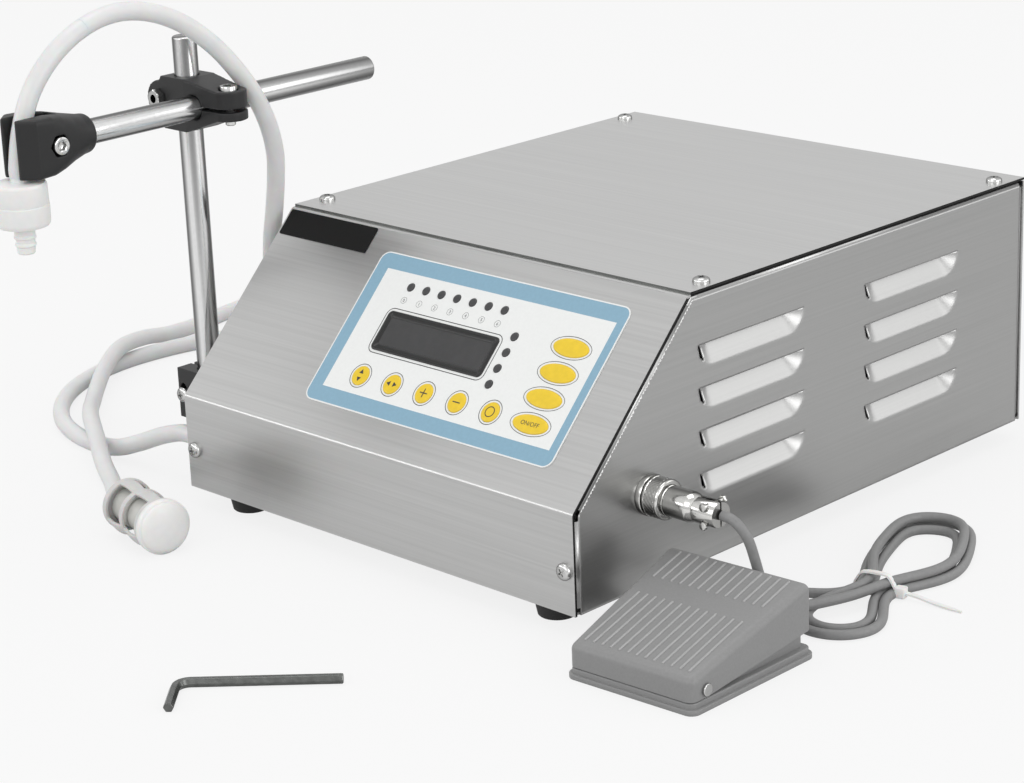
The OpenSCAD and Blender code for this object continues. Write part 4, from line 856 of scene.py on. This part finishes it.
def side_panel(node, columns, x, out):
    """Panel with its louvres pressed into one sheet, joined to the folds of the CAD panel."""
    edge = SHEET + BEND
    bottoms = [top - LOUVRE_H for top in LOUVRE_TOPS]
    z_lines = grid_lines(sorted({0.0, CAB_H - edge, *LOUVRE_TOPS, *bottoms}), 1.1)
    stops = {edge, CAB_D - edge}
    for y0 in columns:
        stops |= {y0, y0 + LOUVRE_END, y0 + LOUVRE_L - LOUVRE_END, y0 + LOUVRE_L}
    y_lines = grid_lines(sorted(stops), 1.3)
    bm = bmesh.new()
    made = {}

    def spot(i, j, lip):
        y, z = y_lines[i], z_lines[j]
        push = louvre_push(y, z, columns)
        on_cut = any(abs(z - top) < 1e-6 for top in LOUVRE_TOPS)
        if on_cut and not lip:
            push = 0.0
        key = (i, j, lip and on_cut and push > 0)
        if key not in made:
            made[key] = bm.verts.new((x - out * push, y, z))
        return made[key]

    for j in range(len(z_lines) - 1):
        for i in range(len(y_lines) - 1):
            if not torn_open((y_lines[i] + y_lines[i + 1]) / 2, (z_lines[j] + z_lines[j + 1]) / 2, columns):
                square = ((i, j, False), (i + 1, j, False), (i + 1, j + 1, True), (i, j + 1, True))
                bm.faces.new([spot(*corner) for corner in square])
    fold = Vector((0, 0, FRONT_H)) - DOWN_SLOPE * edge
    sliced(bm, fold, DOWN_SLOPE, clear_outer=True)
    moved(bm, CAB)
    obj = piece(node + "_sheet", bm, "side", node, 60)
    if (obj.data.polygons[0].normal.x > 0) != (out > 0):
        obj.data.flip_normals()
    thickened(obj, "sheet", SHEET)
    rim = cad_mesh(node, 0)
    moved(rim, CAB.inverted())
    gone = []
    for f in rim.faces:
        c = f.calc_center_median()
        if c.y > edge and c.y < CAB_D - edge and c.z < CAB_H - edge and (c - fold).dot(DOWN_SLOPE) < 0:
            gone.append(f)
    bmesh.ops.delete(rim, geom=gone, context="FACES")
    # Paints shade on the part of the folds that lies under the sheet over them.
    mark_shaded(rim)
    moved(rim, CAB)
    piece(node + "_folds", rim, ["side", "shear"], node, 60)


def cut_sheet(node, mat):
    """Flat sheet laid over the folds, the sheared edges at its sides and front painted darker than its face
    as the shade in the seams.
    """
    bm = cad_mesh(node)
    side = CAB_W / 2 - 0.05
    # Painted seam shade: near black on the side edges, and dark grey on the top cover's front edge.
    for f in bm.faces:
        if abs(f.normal.x) > 0.9 and abs(f.calc_center_median().x) > side:
            f.material_index = 1
        elif node == "top_cover" and f.normal.y < -0.9:
            f.material_index = 2
    piece(node + "_finish", bm, [mat, "shear", "black_steel"], node, 40)


def bend_ends():
    """Ends of the front panel's upper bend, and the round corners where the side panels' folds meet."""
    bm = bmesh.new()
    top_s = hypot(SLOPE_RUN, CAB_H - FRONT_H) - SHEET / sin(SLOPE_A)
    y = top_s * cos(SLOPE_A) + BEND * tan(SLOPE_A / 2)
    z = CAB_H - SHEET - BEND
    turns = [pi / 2 + SLOPE_A * i / 8 for i in range(9)]
    outline = [(-z - BEND, y + 1)]
    for r, angles in ((BEND, turns), (BEND - SHEET, turns[::-1])):
        outline += [(-z - r * sin(a), y + r * cos(a)) for a in angles]
    outline.append((-z - BEND + SHEET, y + 1))
    for x0, x1 in ((0.1, 12.7), (CAB_W - 12.7, CAB_W - 0.1)):
        add_plate(bm, CAB @ ALONG_X, outline, x0, x1)
    piece("front_panel_bend_ends", bm, "sheet_x", "front_panel", 30)
    for node, x in (("left_side_panel", BEND), ("right_side_panel", CAB_W - BEND)):
        bm = bmesh.new()
        corner = shift(x, SLOPE_RUN + (SHEET + BEND) * tan(SLOPE_A / 2), z)
        bmesh.ops.create_uvsphere(bm, u_segments=48, v_segments=48, radius=BEND, matrix=corner)
        for way in (ALONG_Y, Matrix.Rotation(SLOPE_A, 4, "X") @ TO_FRONT):
            add_lathe(bm, corner @ way, [(BEND, 0), (BEND, 3.5)], 48)
        # The corner takes the darker copy of the steel, painted shade, and near black on the part under the
        # sheet over it, painted seam shade.
        mark_shaded(bm)
        moved(bm, CAB)
        piece(node + "_corner", bm, ["side", "shear"], node, 60)


# The side panels take the darker copy of the steel, painted shade.
side_panel("right_side_panel", (82, 201.5), CAB_W, 1)
side_panel("left_side_panel", (201.5,), 0, -1)
cut_sheet("front_panel", "sheet_x")
# The top cover takes the lighter copy of the steel, painted light.
cut_sheet("top_cover", "top")
bend_ends()
dressed("back_panel", "sheet_x", 0.2, 40)
dressed("base_pan", "sheet_y", 0, 40)


# Front panel's overlay, display, lamps and keys, all over the slope from its lower left corner

PRINT, INK = 0.42, 0.03
FIELD = (84.0, 231.0, 24.8, 90.0)
WINDOW = (136.5, 59.0)
NUMBERS_UP = 75.9
LAMP_ROW = [(104.5 + 10.3 * i, 83.1) for i in range(7)]
LAMPS = LAMP_ROW + [(179.8, 46.8 + 8.35 * i) for i in range(4)]
ROUND_PLACES = [(103.8 + 21.3 * i, 34.3) for i in range(5)]
OVAL_PLACES = [(214, 33.9 + 13.1 * j) for j in range(4)]


def add_print(bm, place, text, size, height=INK, mat=0):
    """Generic sign or figure as thin raised ink."""
    data = bpy.data.curves.new("print", "FONT")
    data.body = text
    data.size = size
    data.align_x, data.align_y = "CENTER", "CENTER"
    data.resolution_u = 4
    data.extrude = height / 2
    source = in_scene("print", data)
    mesh = final_mesh(source)
    middle = [sum(pick(v.co[i] for v in mesh.vertices) for pick in (min, max)) / 2 for i in range(2)]
    mesh.transform(place @ shift(-middle[0], -middle[1], 0))
    first = len(bm.faces)
    bm.from_mesh(mesh)
    bm.faces.ensure_lookup_table()
    for f in bm.faces[first:]:
        f.material_index = mat
    bpy.data.objects.remove(source)
    bpy.data.curves.remove(data)
    bpy.data.meshes.remove(mesh)


def overlay():
    bm = cad_mesh("keypad_overlay", 0)
    moved(bm, SLOPE.inverted())
    x0, x1, s0, s1 = FIELD
    for x in (x0, x1):
        sliced(bm, (x, 0, 0), (1, 0, 0))
    for s in (s0, s1):
        sliced(bm, (0, s, 0), (0, 1, 0))
    for f in bm.faces:
        c = f.calc_center_median()
        f.material_index = 1 if x0 < c.x < x1 and s0 < c.y < s1 else 0
    moved(bm, SLOPE)
    piece("keypad_overlay_film", bm, ["blue", "film"], "keypad_overlay", 4)
    bm = bmesh.new()
    middle = SLOPE @ shift(156, 57.5, 0)
    add_frame(bm, middle, rounded(160.2, 82.2, 5.1, 10), rounded(158.9, 80.9, 4.4, 10), 0.02, PRINT + 0.02)
    piece("keypad_overlay_edge", bm, "film", "keypad_overlay")


def marks():
    """Rings round the keys and display, and the numbers under the lamps."""
    bm = bmesh.new()
    frames = [(spot, circle(6.35, 64), circle(6.02, 64)) for spot in ROUND_PLACES]
    frames += [(spot, ellipse(12.1, 5.75), ellipse(11.8, 5.45)) for spot in OVAL_PLACES]
    frames.append((WINDOW, rounded(76.2, 24.4, 4.2), rounded(75.4, 23.6, 3.8)))
    frames += [((x, NUMBERS_UP), circle(1.75, 40), circle(1.62, 40)) for x, _ in LAMP_ROW]
    for spot, outer, inner in frames:
        add_frame(bm, SLOPE @ shift(*spot, PRINT), outer, inner, 0, INK)
    for i, (x, _) in enumerate(LAMP_ROW):
        add_print(bm, SLOPE @ shift(x, NUMBERS_UP, PRINT), str(i), 2.3)
    piece("keypad_marks", bm, "ink", "keypad_overlay")


def display():
    piece("lcd_module_body", cad_mesh("lcd_module", 0), "bezel", "lcd_module", 4)
    place = SLOPE @ shift(*WINDOW, 0)
    bm = bmesh.new()
    rings = [(73.0, 21.2, 2.6, PRINT - 0.02), (72.8, 21.0, 2.5, PRINT + 0.35), (72.2, 20.4, 2.2, PRINT + 0.5),
             (70.2, 18.4, 1.6, PRINT + 0.5), (69.6, 17.8, 1.4, PRINT + 0.12), (67.2, 14.6, 1.0, PRINT + 0.1),
             (66.8, 14.2, 0.9, 0.28)]
    add_rings(bm, place, [(rounded(w, h, r), z) for w, h, r, z in rings], (False, False))
    piece("lcd_surround", bm, "bezel", "lcd_module", 50)
    bm = bmesh.new()
    add_plate(bm, place, rounded(66.9, 14.3, 0.9), 0.2, 0.3)
    piece("lcd_window", bm, "glass", "lcd_module")


def lamps():
    bm = bmesh.new()
    for spot in LAMPS:
        profile = [(2.2, -10.4), (2.2, 0.5), (2.05, 0.72), (1.6, 0.88), (0.9, 0.97), (0.3, 1.0)]
        add_lathe(bm, SLOPE @ shift(*spot, 0), profile, 40)
    piece("indicator_lamp_lenses", bm, "lamp", "indicator_lamps", 50)


def arrow(degrees):
    return [(1.5 * cos(a), 1.5 * sin(a)) for a in (radians(degrees + b) for b in (0, 120, 240))]


def keys():
    """Round keys with a sign on each, and oval keys, one of them with its words."""
    top, off = 0.95, 1.75
    bar, post = rounded(4.6, 0.55, 0.2, 3), rounded(0.55, 4.6, 0.2, 3)
    # Each sign's outlines with their place on the key and their height
    signs = {
        "key_up_down": [(0, off, arrow(90), 0.05), (0, -off, arrow(-90), 0.05)],
        "key_left_right": [(off, 0, arrow(0), 0.05), (-off, 0, arrow(180), 0.05)],
        "key_plus": [(0, 0, bar, 0.05), (0, 0, post, 0.052)],
        "key_minus": [(0, 0, bar, 0.05)],
        "key_zero": [],
    }
    for (node, sign), spot in zip(signs.items(), ROUND_PLACES):
        bm = bmesh.new()
        place = SLOPE @ shift(*spot, 0)
        add_lathe(bm, place, [(5.8, -1.6), (5.8, -1.25), (5.0, -1.25), (5.0, 0.55), (4.9, 0.7), (4.6, 0.82),
                              (3.9, 0.92), (2.5, top), (0.4, top)], 64)
        ink = place @ shift(0, 0, top - 0.01)
        for x, y, outline, height in sign:
            add_plate(bm, ink @ shift(x, y, 0), outline, 0, height, 1)
        if node == "key_zero":
            add_frame(bm, ink, circle(2.7), circle(2.25), 0, 0.05, 1)
        piece(node + "_button", bm, ["key", "ink"], node, 50)
    for node, spot in zip(("key_power", "key_clear", "key_settings", "key_run"), OVAL_PLACES):
        bm = bmesh.new()
        place = SLOPE @ shift(*spot, 0)
        rings = [(11.3, 5.3, -1.6), (11.3, 5.3, -1.25), (10.5, 4.5, -1.25), (10.5, 4.5, 0.55),
                 (10.38, 4.38, 0.7), (10.0, 4.05, 0.82), (9.1, 3.4, 0.92), (7.4, 2.3, top), (3, 0.6, top)]
        add_rings(bm, place, [(ellipse(a, b), z) for a, b, z in rings])
        if node == "key_power":
            add_print(bm, place @ shift(0, 0, top + 0.01), "ON/OFF", 3.0, 0.04, 1)
        piece(node + "_button", bm, ["key", "ink"], node, 50)


overlay()
marks()
display()
lamps()
keys()
dressed("blank_label", "label", 0.12, 30)


# Stand, clamps, arm and nozzle


def rod_between(node):
    """Round bar with eased ends, over the whole length of a CAD rod."""
    lo, hi = (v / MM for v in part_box(node))
    long = max(range(3), key=lambda i: hi[i] - lo[i])
    length = hi[long] - lo[long]
    base = (lo + hi) / 2
    base[long] = lo[long]
    place = Matrix.Translation(base) @ {0: ALONG_X, 1: ALONG_Y, 2: Matrix.Identity(4)}[long]
    end = [(5.2, 0), (5.5, 0.15), (5.9, 0.55), (6, 0.9)]
    lathed(node + "_bar", place, end + [(r, length - z) for r, z in end[::-1]], 96, "rod", node, 60)


def bolts():
    bm = bmesh.new()
    add_socket_bolt(bm, CLAMP @ shift(-10.1, 10, 2) @ ALONG_Y, 24)
    add_nut(bm, CLAMP @ shift(-10.1, -10, 2) @ TO_FRONT, 8, 4)
    add_socket_bolt(bm, CLAMP @ shift(31, 0, 6.25), 14.5)
    piece("clamp_bolt_set", bm, "screw", "clamp_bolts", 30)
    bm = bmesh.new()
    add_socket_bolt(bm, ARM @ shift(9.2, -6, 0) @ ALONG_X, 22.4)
    add_nut(bm, ARM @ shift(-13.2, -6, 0) @ ALONG_X, 8, 4)
    piece("nozzle_bolt_set", bm, "screw", "nozzle_bolt", 30)


def nozzle():
    profile = [(1.4, 2.5), (3.9, 2.5), (4.25, 2.0), (4.25, 0.2), (5.2, 0), (10.6, 0), (11.7, -0.35),
               (12.2, -1.2), (12.3, -2.0), (12.5, -10.1), (12.35, -10.5), (12.7, -10.9), (12.75, -11.6),
               (12.6, -18.6), (12.3, -19.8), (11.6, -20.7), (10.4, -21), (5.6, -21.1), (5.0, -21.6),
               (4.8, -25.2), (5.1, -25.6), (5.2, -26.4), (4.6, -27.0), (4.5, -28.6), (4.95, -29.2),
               (5.0, -30.0), (4.4, -30.6), (4.2, -33.4), (3.7, -34), (2.4, -34), (2.4, -22)]
    place = ARM @ shift(0, -21.5, -15.5)
    lathed("filling_nozzle_body", place, profile, 80, "white", "filling_nozzle", 35)


def squircle(w, h, power, n=64):
    """Outline between an ellipse, at power 2, and a rectangle, at high power."""
    return [tuple(copysign(size / 2 * abs(c) ** (2 / power), c) for size, c in zip((w, h), spot))
            for spot in ellipse(1, 1, n)]


def cut_by(obj, bm, name):
    """Takes the shapes drawn in bm out of a piece."""
    tool = drawn(name, bm)
    cut = obj.modifiers.new("cut", "BOOLEAN")
    cut.operation = "DIFFERENCE"
    cut.solver = "EXACT"
    cut.use_self = True
    cut.object = tool
    result = final_mesh(obj)
    obj.modifiers.remove(cut)
    old, obj.data = obj.data, result
    bpy.data.meshes.remove(old)
    mesh = tool.data
    bpy.data.objects.remove(tool)
    bpy.data.meshes.remove(mesh)


def jaws():
    """Clamp at the end of the arm: a tapering block with two jaws round the hose."""
    bm = bmesh.new()
    rings = [(16.8, 16.8, 2, -18), (18.6, 18.6, 2, -16.6), (19.4, 19.4, 2.1, -13), (22, 22.6, 2.6, -6),
             (25.4, 26.4, 4, 2), (26.4, 28, 8, 9), (26.4, 28, 14, 17.6), (26.2, 28, 14, 18.4),
             (12.6, 27.8, 14, 24.9)]
    add_rings(bm, ARM @ TO_FRONT, [(squircle(w, h, power), z) for w, h, power, z in rings])
    obj = piece("nozzle_clamp_jaws", bm, "black", "nozzle_clamp", 180)
    bm = bmesh.new()
    add_lathe(bm, ARM @ ALONG_Y, [(6.1, 0), (6.1, 30)], 48)
    add_plate(bm, ARM @ shift(0, -14, 0), rounded(9.2, 25, 0.1), -20, 20)
    cut_by(obj, bm, "hose_slot")
    bm = bmesh.new()
    add_plate(bm, ARM @ shift(9.2, -6, 0) @ ALONG_X, hexagon(9.6), 0, 8)
    add_plate(bm, ARM @ shift(-9.2, -6, 0) @ turn(-90, "Y"), hexagon(8.6), 0, 8)
    cut_by(obj, bm, "bolt_seats")
    softened(obj, 0.45)


rod_between("stand_rod")
rod_between("arm_rod")
bolts()
nozzle()
for node in ("cross_clamp", "stand_bracket"):
    softened(piece(node + "_finish", cad_mesh(node, 0), "black", node, 180), 0.5)
jaws()


# Pedal's connector on the right side


def connector():
    bm = bmesh.new()
    profile = [(8, -12), (8, -0.1), (9.3, 0), (9.5, 0.3), (9.5, 2.5), (9.2, 3.0), (8.0, 3.0)]
    for k in range(4):
        profile += [(8.0, 3.15 + 0.7 * k), (7.6, 3.5 + 0.7 * k)]
    add_lathe(bm, SOCKET, profile + [(7.9, 6.0), (4, 6.0)], 72)
    add_nut(bm, SOCKET @ shift(0, 0, -4.2), 19, 3)
    piece("pedal_socket_body", bm, "nickel", "pedal_socket", 35)

    n, count = 96, 11
    rows = circles([(8.45, 3.35), (9.0, 3.5), (9.25, 3.9), (9.25, 4.6), (8.95, 4.8)], n)
    for j in range(count):
        knurl = 0.2 * cos(pi * j * 0.5)
        outline = polar(lambda a, knurl=knurl: 9.08 + knurl * cos(a * n / 4), n)
        rows.append((outline, 5.0 + 5.2 * j / (count - 1)))
    rows += circles([(8.95, 10.4), (9.25, 10.6), (9.25, 11.6), (9.0, 12.2), (8.5, 12.5), (7.1, 12.5),
                     (7.1, 12.1), (8.2, 12.0), (8.2, 3.35), (8.45, 3.35)], n)
    bm = bmesh.new()
    add_rings(bm, SOCKET, rows, (False, False))
    piece("coupling_ring_knurled", bm, "nickel", "coupling_ring", 40)

    profile = [(5, 6.2), (7.7, 6.2), (7.7, 9.8), (7.0, 10), (7.0, 13.2), (6.7, 13.4), (6.7, 13.9),
               (7.0, 14.1), (7.0, 25.2), (6.8, 26.4), (6.2, 27.8), (5.6, 28.7), (5.2, 29)]
    barrel = lathed("plug_barrel", SOCKET, profile, 72, "nickel", "plug_body", 35)

    bm = bmesh.new()
    for side in (1, -1):
        half, inner = [[(r * cos(a), side * (0.45 + r * sin(a)))
                        for a in (pi * i / 24 for i in range(25))] for r in (5.9, 5.5)]
        add_rings(bm, SOCKET, [(inner, 29.05), (half, 29.5), (half, 40.6), (inner, 41.2)])
    add_lathe(bm, SOCKET, [(5.2, 28.6), (5.2, 30.8)], 48)
    for x in (-4.2, 4.2):
        at = SOCKET @ shift(x, 0, 36.8) @ TO_FRONT
        add_lathe(bm, at, [(1.1, -6.6), (1.1, 6.2)], 20)
        add_lathe(bm, at, [(1.9, 5.9), (1.9, 6.9), (1.6, 7.3), (1.0, 7.4)], 32)
        add_nut(bm, at @ shift(0, 0, -7.2), 3.8, 1.4)
    return [barrel, piece("plug_cord_grip", bm, "nickel", "plug_cord_clamp", 35)]


plug = connector()
dressed("hose_ports", "nickel")


# Foot pedal

PEDAL_L, PEDAL_ZF, PEDAL_ZB, PEDAL_WALL = 77.0, 15.5, 34.5, 2.2
TREADLE_TOP = PEDAL @ shift(0, 0, PEDAL_ZF) @ Matrix.Rotation(atan2(PEDAL_ZB - PEDAL_ZF, PEDAL_L), 4, "X")


def inset(corners, d):
    """Corners of a convex outline, anticlockwise, moved in by d from each side."""
    points = [Vector(p) for p in corners]
    sides = []
    for p, q in zip(points, points[1:] + points[:1]):
        way = (q - p).normalized()
        sides.append((p + d * Vector((-way.y, way.x)), way))
    out = []
    for (p, u), (q, w) in zip([sides[-1]] + sides[:-1], sides):
        t = (q - p).cross(w) / u.cross(w)
        out.append(p + t * u)
    return out


def filleted(corners, r, k=6):
    """Outline with its corners rounded, k + 1 points to each."""
    points = [Vector(p) for p in corners]
    out = []
    for i, p in enumerate(points):
        a = (points[i - 1] - p).normalized()
        b = (points[(i + 1) % len(points)] - p).normalized()
        half = a.angle(b) / 2
        centre = p + r / sin(half) * (a + b).normalized()
        start, end = p + r / tan(half) * a - centre, p + r / tan(half) * b - centre
        first = atan2(start.y, start.x)
        sweep = (atan2(end.y, end.x) - first + pi) % (2 * pi) - pi
        out += [(centre.x + r * cos(first + sweep * j / k), centre.y + r * sin(first + sweep * j / k))
                for j in range(k + 1)]
    return out


def half_pedal(y):
    """Half of the pedal's width, which grows to its back."""
    return 32 + 5 * y / PEDAL_L


def add_tapered(bm, profile, edge, less=0.0, steps=6):
    """Skins a profile of y and z across the pedal's width, its edges rounded."""
    rows = []
    for i in [*range(steps + 1), *range(steps, -1, -1)]:
        a = pi / 2 * i / steps
        side = -1 if len(rows) <= steps else 1
        outline = filleted(inset(profile, edge * (1 - sin(a))), edge * sin(a) + 0.05)
        x_in = less + edge * (1 - cos(a))
        rows.append(row_of(bm, (PEDAL @ Vector((side * (half_pedal(y) - x_in), y, z)) for y, z in outline)))
    skin(bm, rows)


def treadle():
    """Hollow treadle, open below, with a notch for the cord at its back."""
    bm = bmesh.new()
    add_tapered(bm, [(0, -8), (PEDAL_L, -8), (PEDAL_L, PEDAL_ZB), (0, PEDAL_ZF)], 3.4)
    obj = piece("pedal_treadle_shell", bm, "pedal", "pedal_treadle", 30)
    bm = bmesh.new()
    in_y = PEDAL_L - PEDAL_WALL
    hollow = [(PEDAL_WALL, -30), (in_y, -30), (in_y, PEDAL_ZB - PEDAL_WALL),
              (PEDAL_WALL, PEDAL_ZF - PEDAL_WALL)]
    add_tapered(bm, hollow, 1.2, PEDAL_WALL, 3)
    cut_by(obj, bm, "treadle_hollow")
    bm = bmesh.new()
    below = [(-9, -40), (90, -40), (90, 14.46), (PEDAL_L, 13), (10, 5.5), (-9, 5.5)]
    add_plate(bm, PEDAL @ ALONG_X, [(-z, y) for y, z in below], -60, 60)
    cut_by(obj, bm, "treadle_underside")
    bm = bmesh.new()
    add_plate(bm, PEDAL @ shift(-20, 78, 0), rounded(11, 14, 0.1), -30, 20.3)
    cut_by(obj, bm, "treadle_notch")
    shaded(obj, 30)


def pedal_base():
    """Base plate with a raised middle, and on it the construction's walls, lugs and cord gland."""
    bm = cad_mesh("pedal_base", 0)
    sliced(bm, (0, 0, 5.02), (0, 0, 1), clear_inner=True)
    plate = ((0.5, 0), (0.1, 0.15), (0, 0.5), (0, 2.1), (0.15, 2.4), (0.5, 2.5))
    middle = ((0, 2.2), (0, 4.5), (0.15, 4.85), (0.5, 5))
    for grow, long, r, rings in ((1.5, 1, 4.5, plate), (0, 0, 3.6, middle)):
        y0, y1 = -long, PEDAL_L + long
        w0, w1 = half_pedal(y0) + grow, half_pedal(y1) + grow
        outline = [(-w0, y0), (w0, y0), (w1, y1), (-w1, y1)]
        add_rings(bm, PEDAL, [(filleted(inset(outline, d), r - d), z) for d, z in rings])
    piece("pedal_base_plate", bm, "pedal", "pedal_base", 35)


def ribs():
    bm = bmesh.new()
    for i in range(-6, 7):
        for start, end, pitch in ((5.0, 43.0, 4.5), (54.5, 75.0, 4.75)):
            rings = [(rounded(1.05 - 2 * d, end - start - 2 * d, 0.5 - d * 0.9, 5), z)
                     for d, z in ((0, -0.5), (0, 0.25), (0.1, 0.4), (0.25, 0.5), (0.4, 0.53))]
            add_rings(bm, TREADLE_TOP @ shift(i * pitch, (start + end) / 2, 0), rings)
    # The ribs take the lighter grey, a painted highlight.
    piece("pedal_ribs", bm, "rib", "pedal_treadle", 60)


def spring():
    low, high, y, r, wire_r, count = 5.0, 27.0, 62, 4.0, 0.5, 6 * 24
    line = []
    for i in range(count + 1):
        a = 2 * pi * i / 24
        rise = low + 0.6 + (high - low - 1.2) * eased(i / count, 0, 1)
        line.append(PEDAL @ Vector((r * cos(a), y + r * sin(a), rise)))
    bm = bmesh.new()
    add_tube(bm, line, wire_r, 12)
    coil = piece("pedal_spring_coil", bm, "spring", "pedal_spring")
    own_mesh(coil)


treadle()
pedal_base()
dressed("pedal_pin", "screw", 0.35)
dressed("pedal_switch", "black")
ribs()
spring()


# Filter, hex key and cable tie


def filter_cap():
    profile = [(12.6, 38), (13.3, 38.1), (13.5, 38.4), (13.5, 40.8), (13.2, 41.3), (12.4, 41.7)]
    dome = [pi / 2 * i / 14 for i in range(1, 14)]
    profile += [(12.4 * cos(t), 41.7 + 4.0 * sin(t)) for t in dome]
    return lathed("filter_cap_dome", FILTER, profile + [(0.3, 45.7)], 80, "white", "filter_cap", 40)


def filter_cage():
    """Moulded cage of two bays, each with three openings that bulge a little, and a core inside."""
    n = 96
    bays = ((3.5, 17.0), (20.5, 34.5))
    profile = [(4.7, 0.0), (12.5, 0.0)]
    for z in grid_lines([0.4, *bays[0], *bays[1], 38.0], 1.1):
        bay = next(((a, b) for a, b in bays if a <= z <= b), None)
        bulge = sin(pi * (z - bay[0]) / (bay[1] - bay[0])) if bay else 0
        profile.append((12.9 - 0.6 * sin(pi * z / 38) + 0.9 * bulge, z))

    def solid_at(k, j):
        z = (profile[j][1] + profile[j + 1][1]) / 2
        a = (360 * (k + 0.5) / n - 243 + 60) % 120 - 60
        return abs(a) >= 46 or not any(low < z < high for low, high in bays)

    bm = bmesh.new()
    rows = [row_of(bm, (FILTER @ Vector((x, y, z)) for x, y in circle(r, n))) for r, z in profile]
    skin(bm, rows, (False, False), kept=solid_at)
    shell = piece("filter_cage_shell", bm, "clear", "filter_cage", 45)
    thickened(shell, "wall", 1.5)
    bevelled(shell, 0.25, 2, 50, False)
    sleeve = [(4.6, 1.8), (8.6, 1.8), (8.8, 2.2), (8.8, 18.2), (8.3, 18.6), (8.3, 19.2), (8.8, 19.6),
              (8.8, 38.2), (2, 38.2)]
    return [shell, lathed("filter_core_sleeve", FILTER, sleeve, 72, "core", "filter_cage", 40)]


def hex_key():
    """L of six-sided bar, its middle line from the long arm's end round the bend."""
    place = shift(60, -284.6, 2) @ turn(43, "Z")
    across, half, short, bend = 4, 35, 25, 6
    line = [Vector((half, 0, 0))]
    for a in (radians(7.5 * i) for i in range(13)):
        line.append(Vector((bend * (1 - sin(a)) - half, -bend * (1 - cos(a)), 0)))
    line.append(Vector((-half, -short, 0)))
    line = [line[0], line[0].lerp(line[1], 0.008), *line[1:-1], line[-1].lerp(line[-2], 0.02), line[-1]]
    bm = bmesh.new()
    rows = []
    for i, (p, way) in enumerate(zip(line, ways_along(line))):
        side, up = Vector((-way.y, way.x, 0)), Vector((0, 0, 1))
        r = across / sqrt(3) * (0.86 if i in (0, len(line) - 1) else 1)
        rows.append(row_of(bm, (place @ (p + r * (s * up + c * side)) for c, s in circle(1, 6))))
    skin(bm, rows)
    obj = piece("hex_key_bar", bm, "black_steel", "hex_key", 30)
    bevelled(obj, 0.3, 3, 35, True)


def cable_tie():
    at = shift(199, -46, 0) @ turn(15, "Z")
    bm = bmesh.new()
    half = [(8.6, 0.8), (9.7, 2.0), (9.4, 4.6), (6.6, 9.3), (5.2, 10.3)]
    loop = [Vector((-8.6, 0.8))] + [Vector(p) for p in half] + [Vector((-x, z)) for x, z in half[:0:-1]]
    dense = [a.lerp(b, t / 4) for a, b in zip(loop, loop[1:] + loop[:1]) for t in range(4)]
    for _ in range(3):
        rings = zip(dense[-1:] + dense, dense, dense[1:] + dense)
        dense = [(before + 2 * p + after) / 4 for before, p, after in rings]
    centre = sum(dense, Vector((0, 0))) / len(dense)
    rows = []
    for x, z in dense:
        way = (Vector((x, z)) - centre).normalized()
        rows.append(row_of(bm, (at @ Vector((x + way.x * t, y, z + way.y * t))
                                for y, t in ((-1.5, 0), (-1.3, 0.9), (1.3, 0.9), (1.5, 0)))))
    skin(bm, rows + rows[:1], (False, False))
    head = ((4.6, 0.8, -2.4), (5, 0.9, -2.0), (5, 0.9, 1.9), (4.5, 0.8, 2.3))
    add_rings(bm, at @ shift(12.2, 0, 3.4), [(rounded(w, w, r), z) for w, r, z in head])
    tail = smooth_line(
        [(14.5, 0, 3.2), (20, -0.3, 2.6), (27, -1.2, 1.5), (34, -2.6, 0.9), (42, -4.6, 0.7)], 1.2)
    rows = []
    for i, (p, way) in enumerate(zip(tail, ways_along(tail))):
        side = Vector((-way.y, way.x, 0)).normalized()
        wide = 1.2 * (1 - 0.6 * eased(i / (len(tail) - 1), 0.75, 1))
        up = Vector((0, 0, 0.45))
        rows.append(row_of(bm, (at @ (p + side * w + up * u)
                                for w, u in ((-wide, -1), (-wide, 1), (wide, 1), (wide, -1)))))
    skin(bm, rows)
    return piece("cable_tie_strap", bm, "nylon", "cable_tie", 50)


cap = filter_cap()
cage = filter_cage()
hex_key()
tie = cable_tie()


# Back panel's fittings and what is inside the case

for node, key in {"power_inlet": "black", "rocker_frame": "black", "power_rocker": "gloss_black"}.items():
    dressed(node, key)
INSIDE = {"key_switches": "black", "control_board": "board", "power_supply": "zinc", "pump_motor": "motor",
          "pump_head": "pump", "pump_bracket": "zinc", "pump_rotor": "white", "suction_tube": "silicone",
          "delivery_tube": "silicone"}
for node, key in INSIDE.items():
    nodes[node].data.materials.clear()
    nodes[node].data.materials.append(M[key])

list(cage)
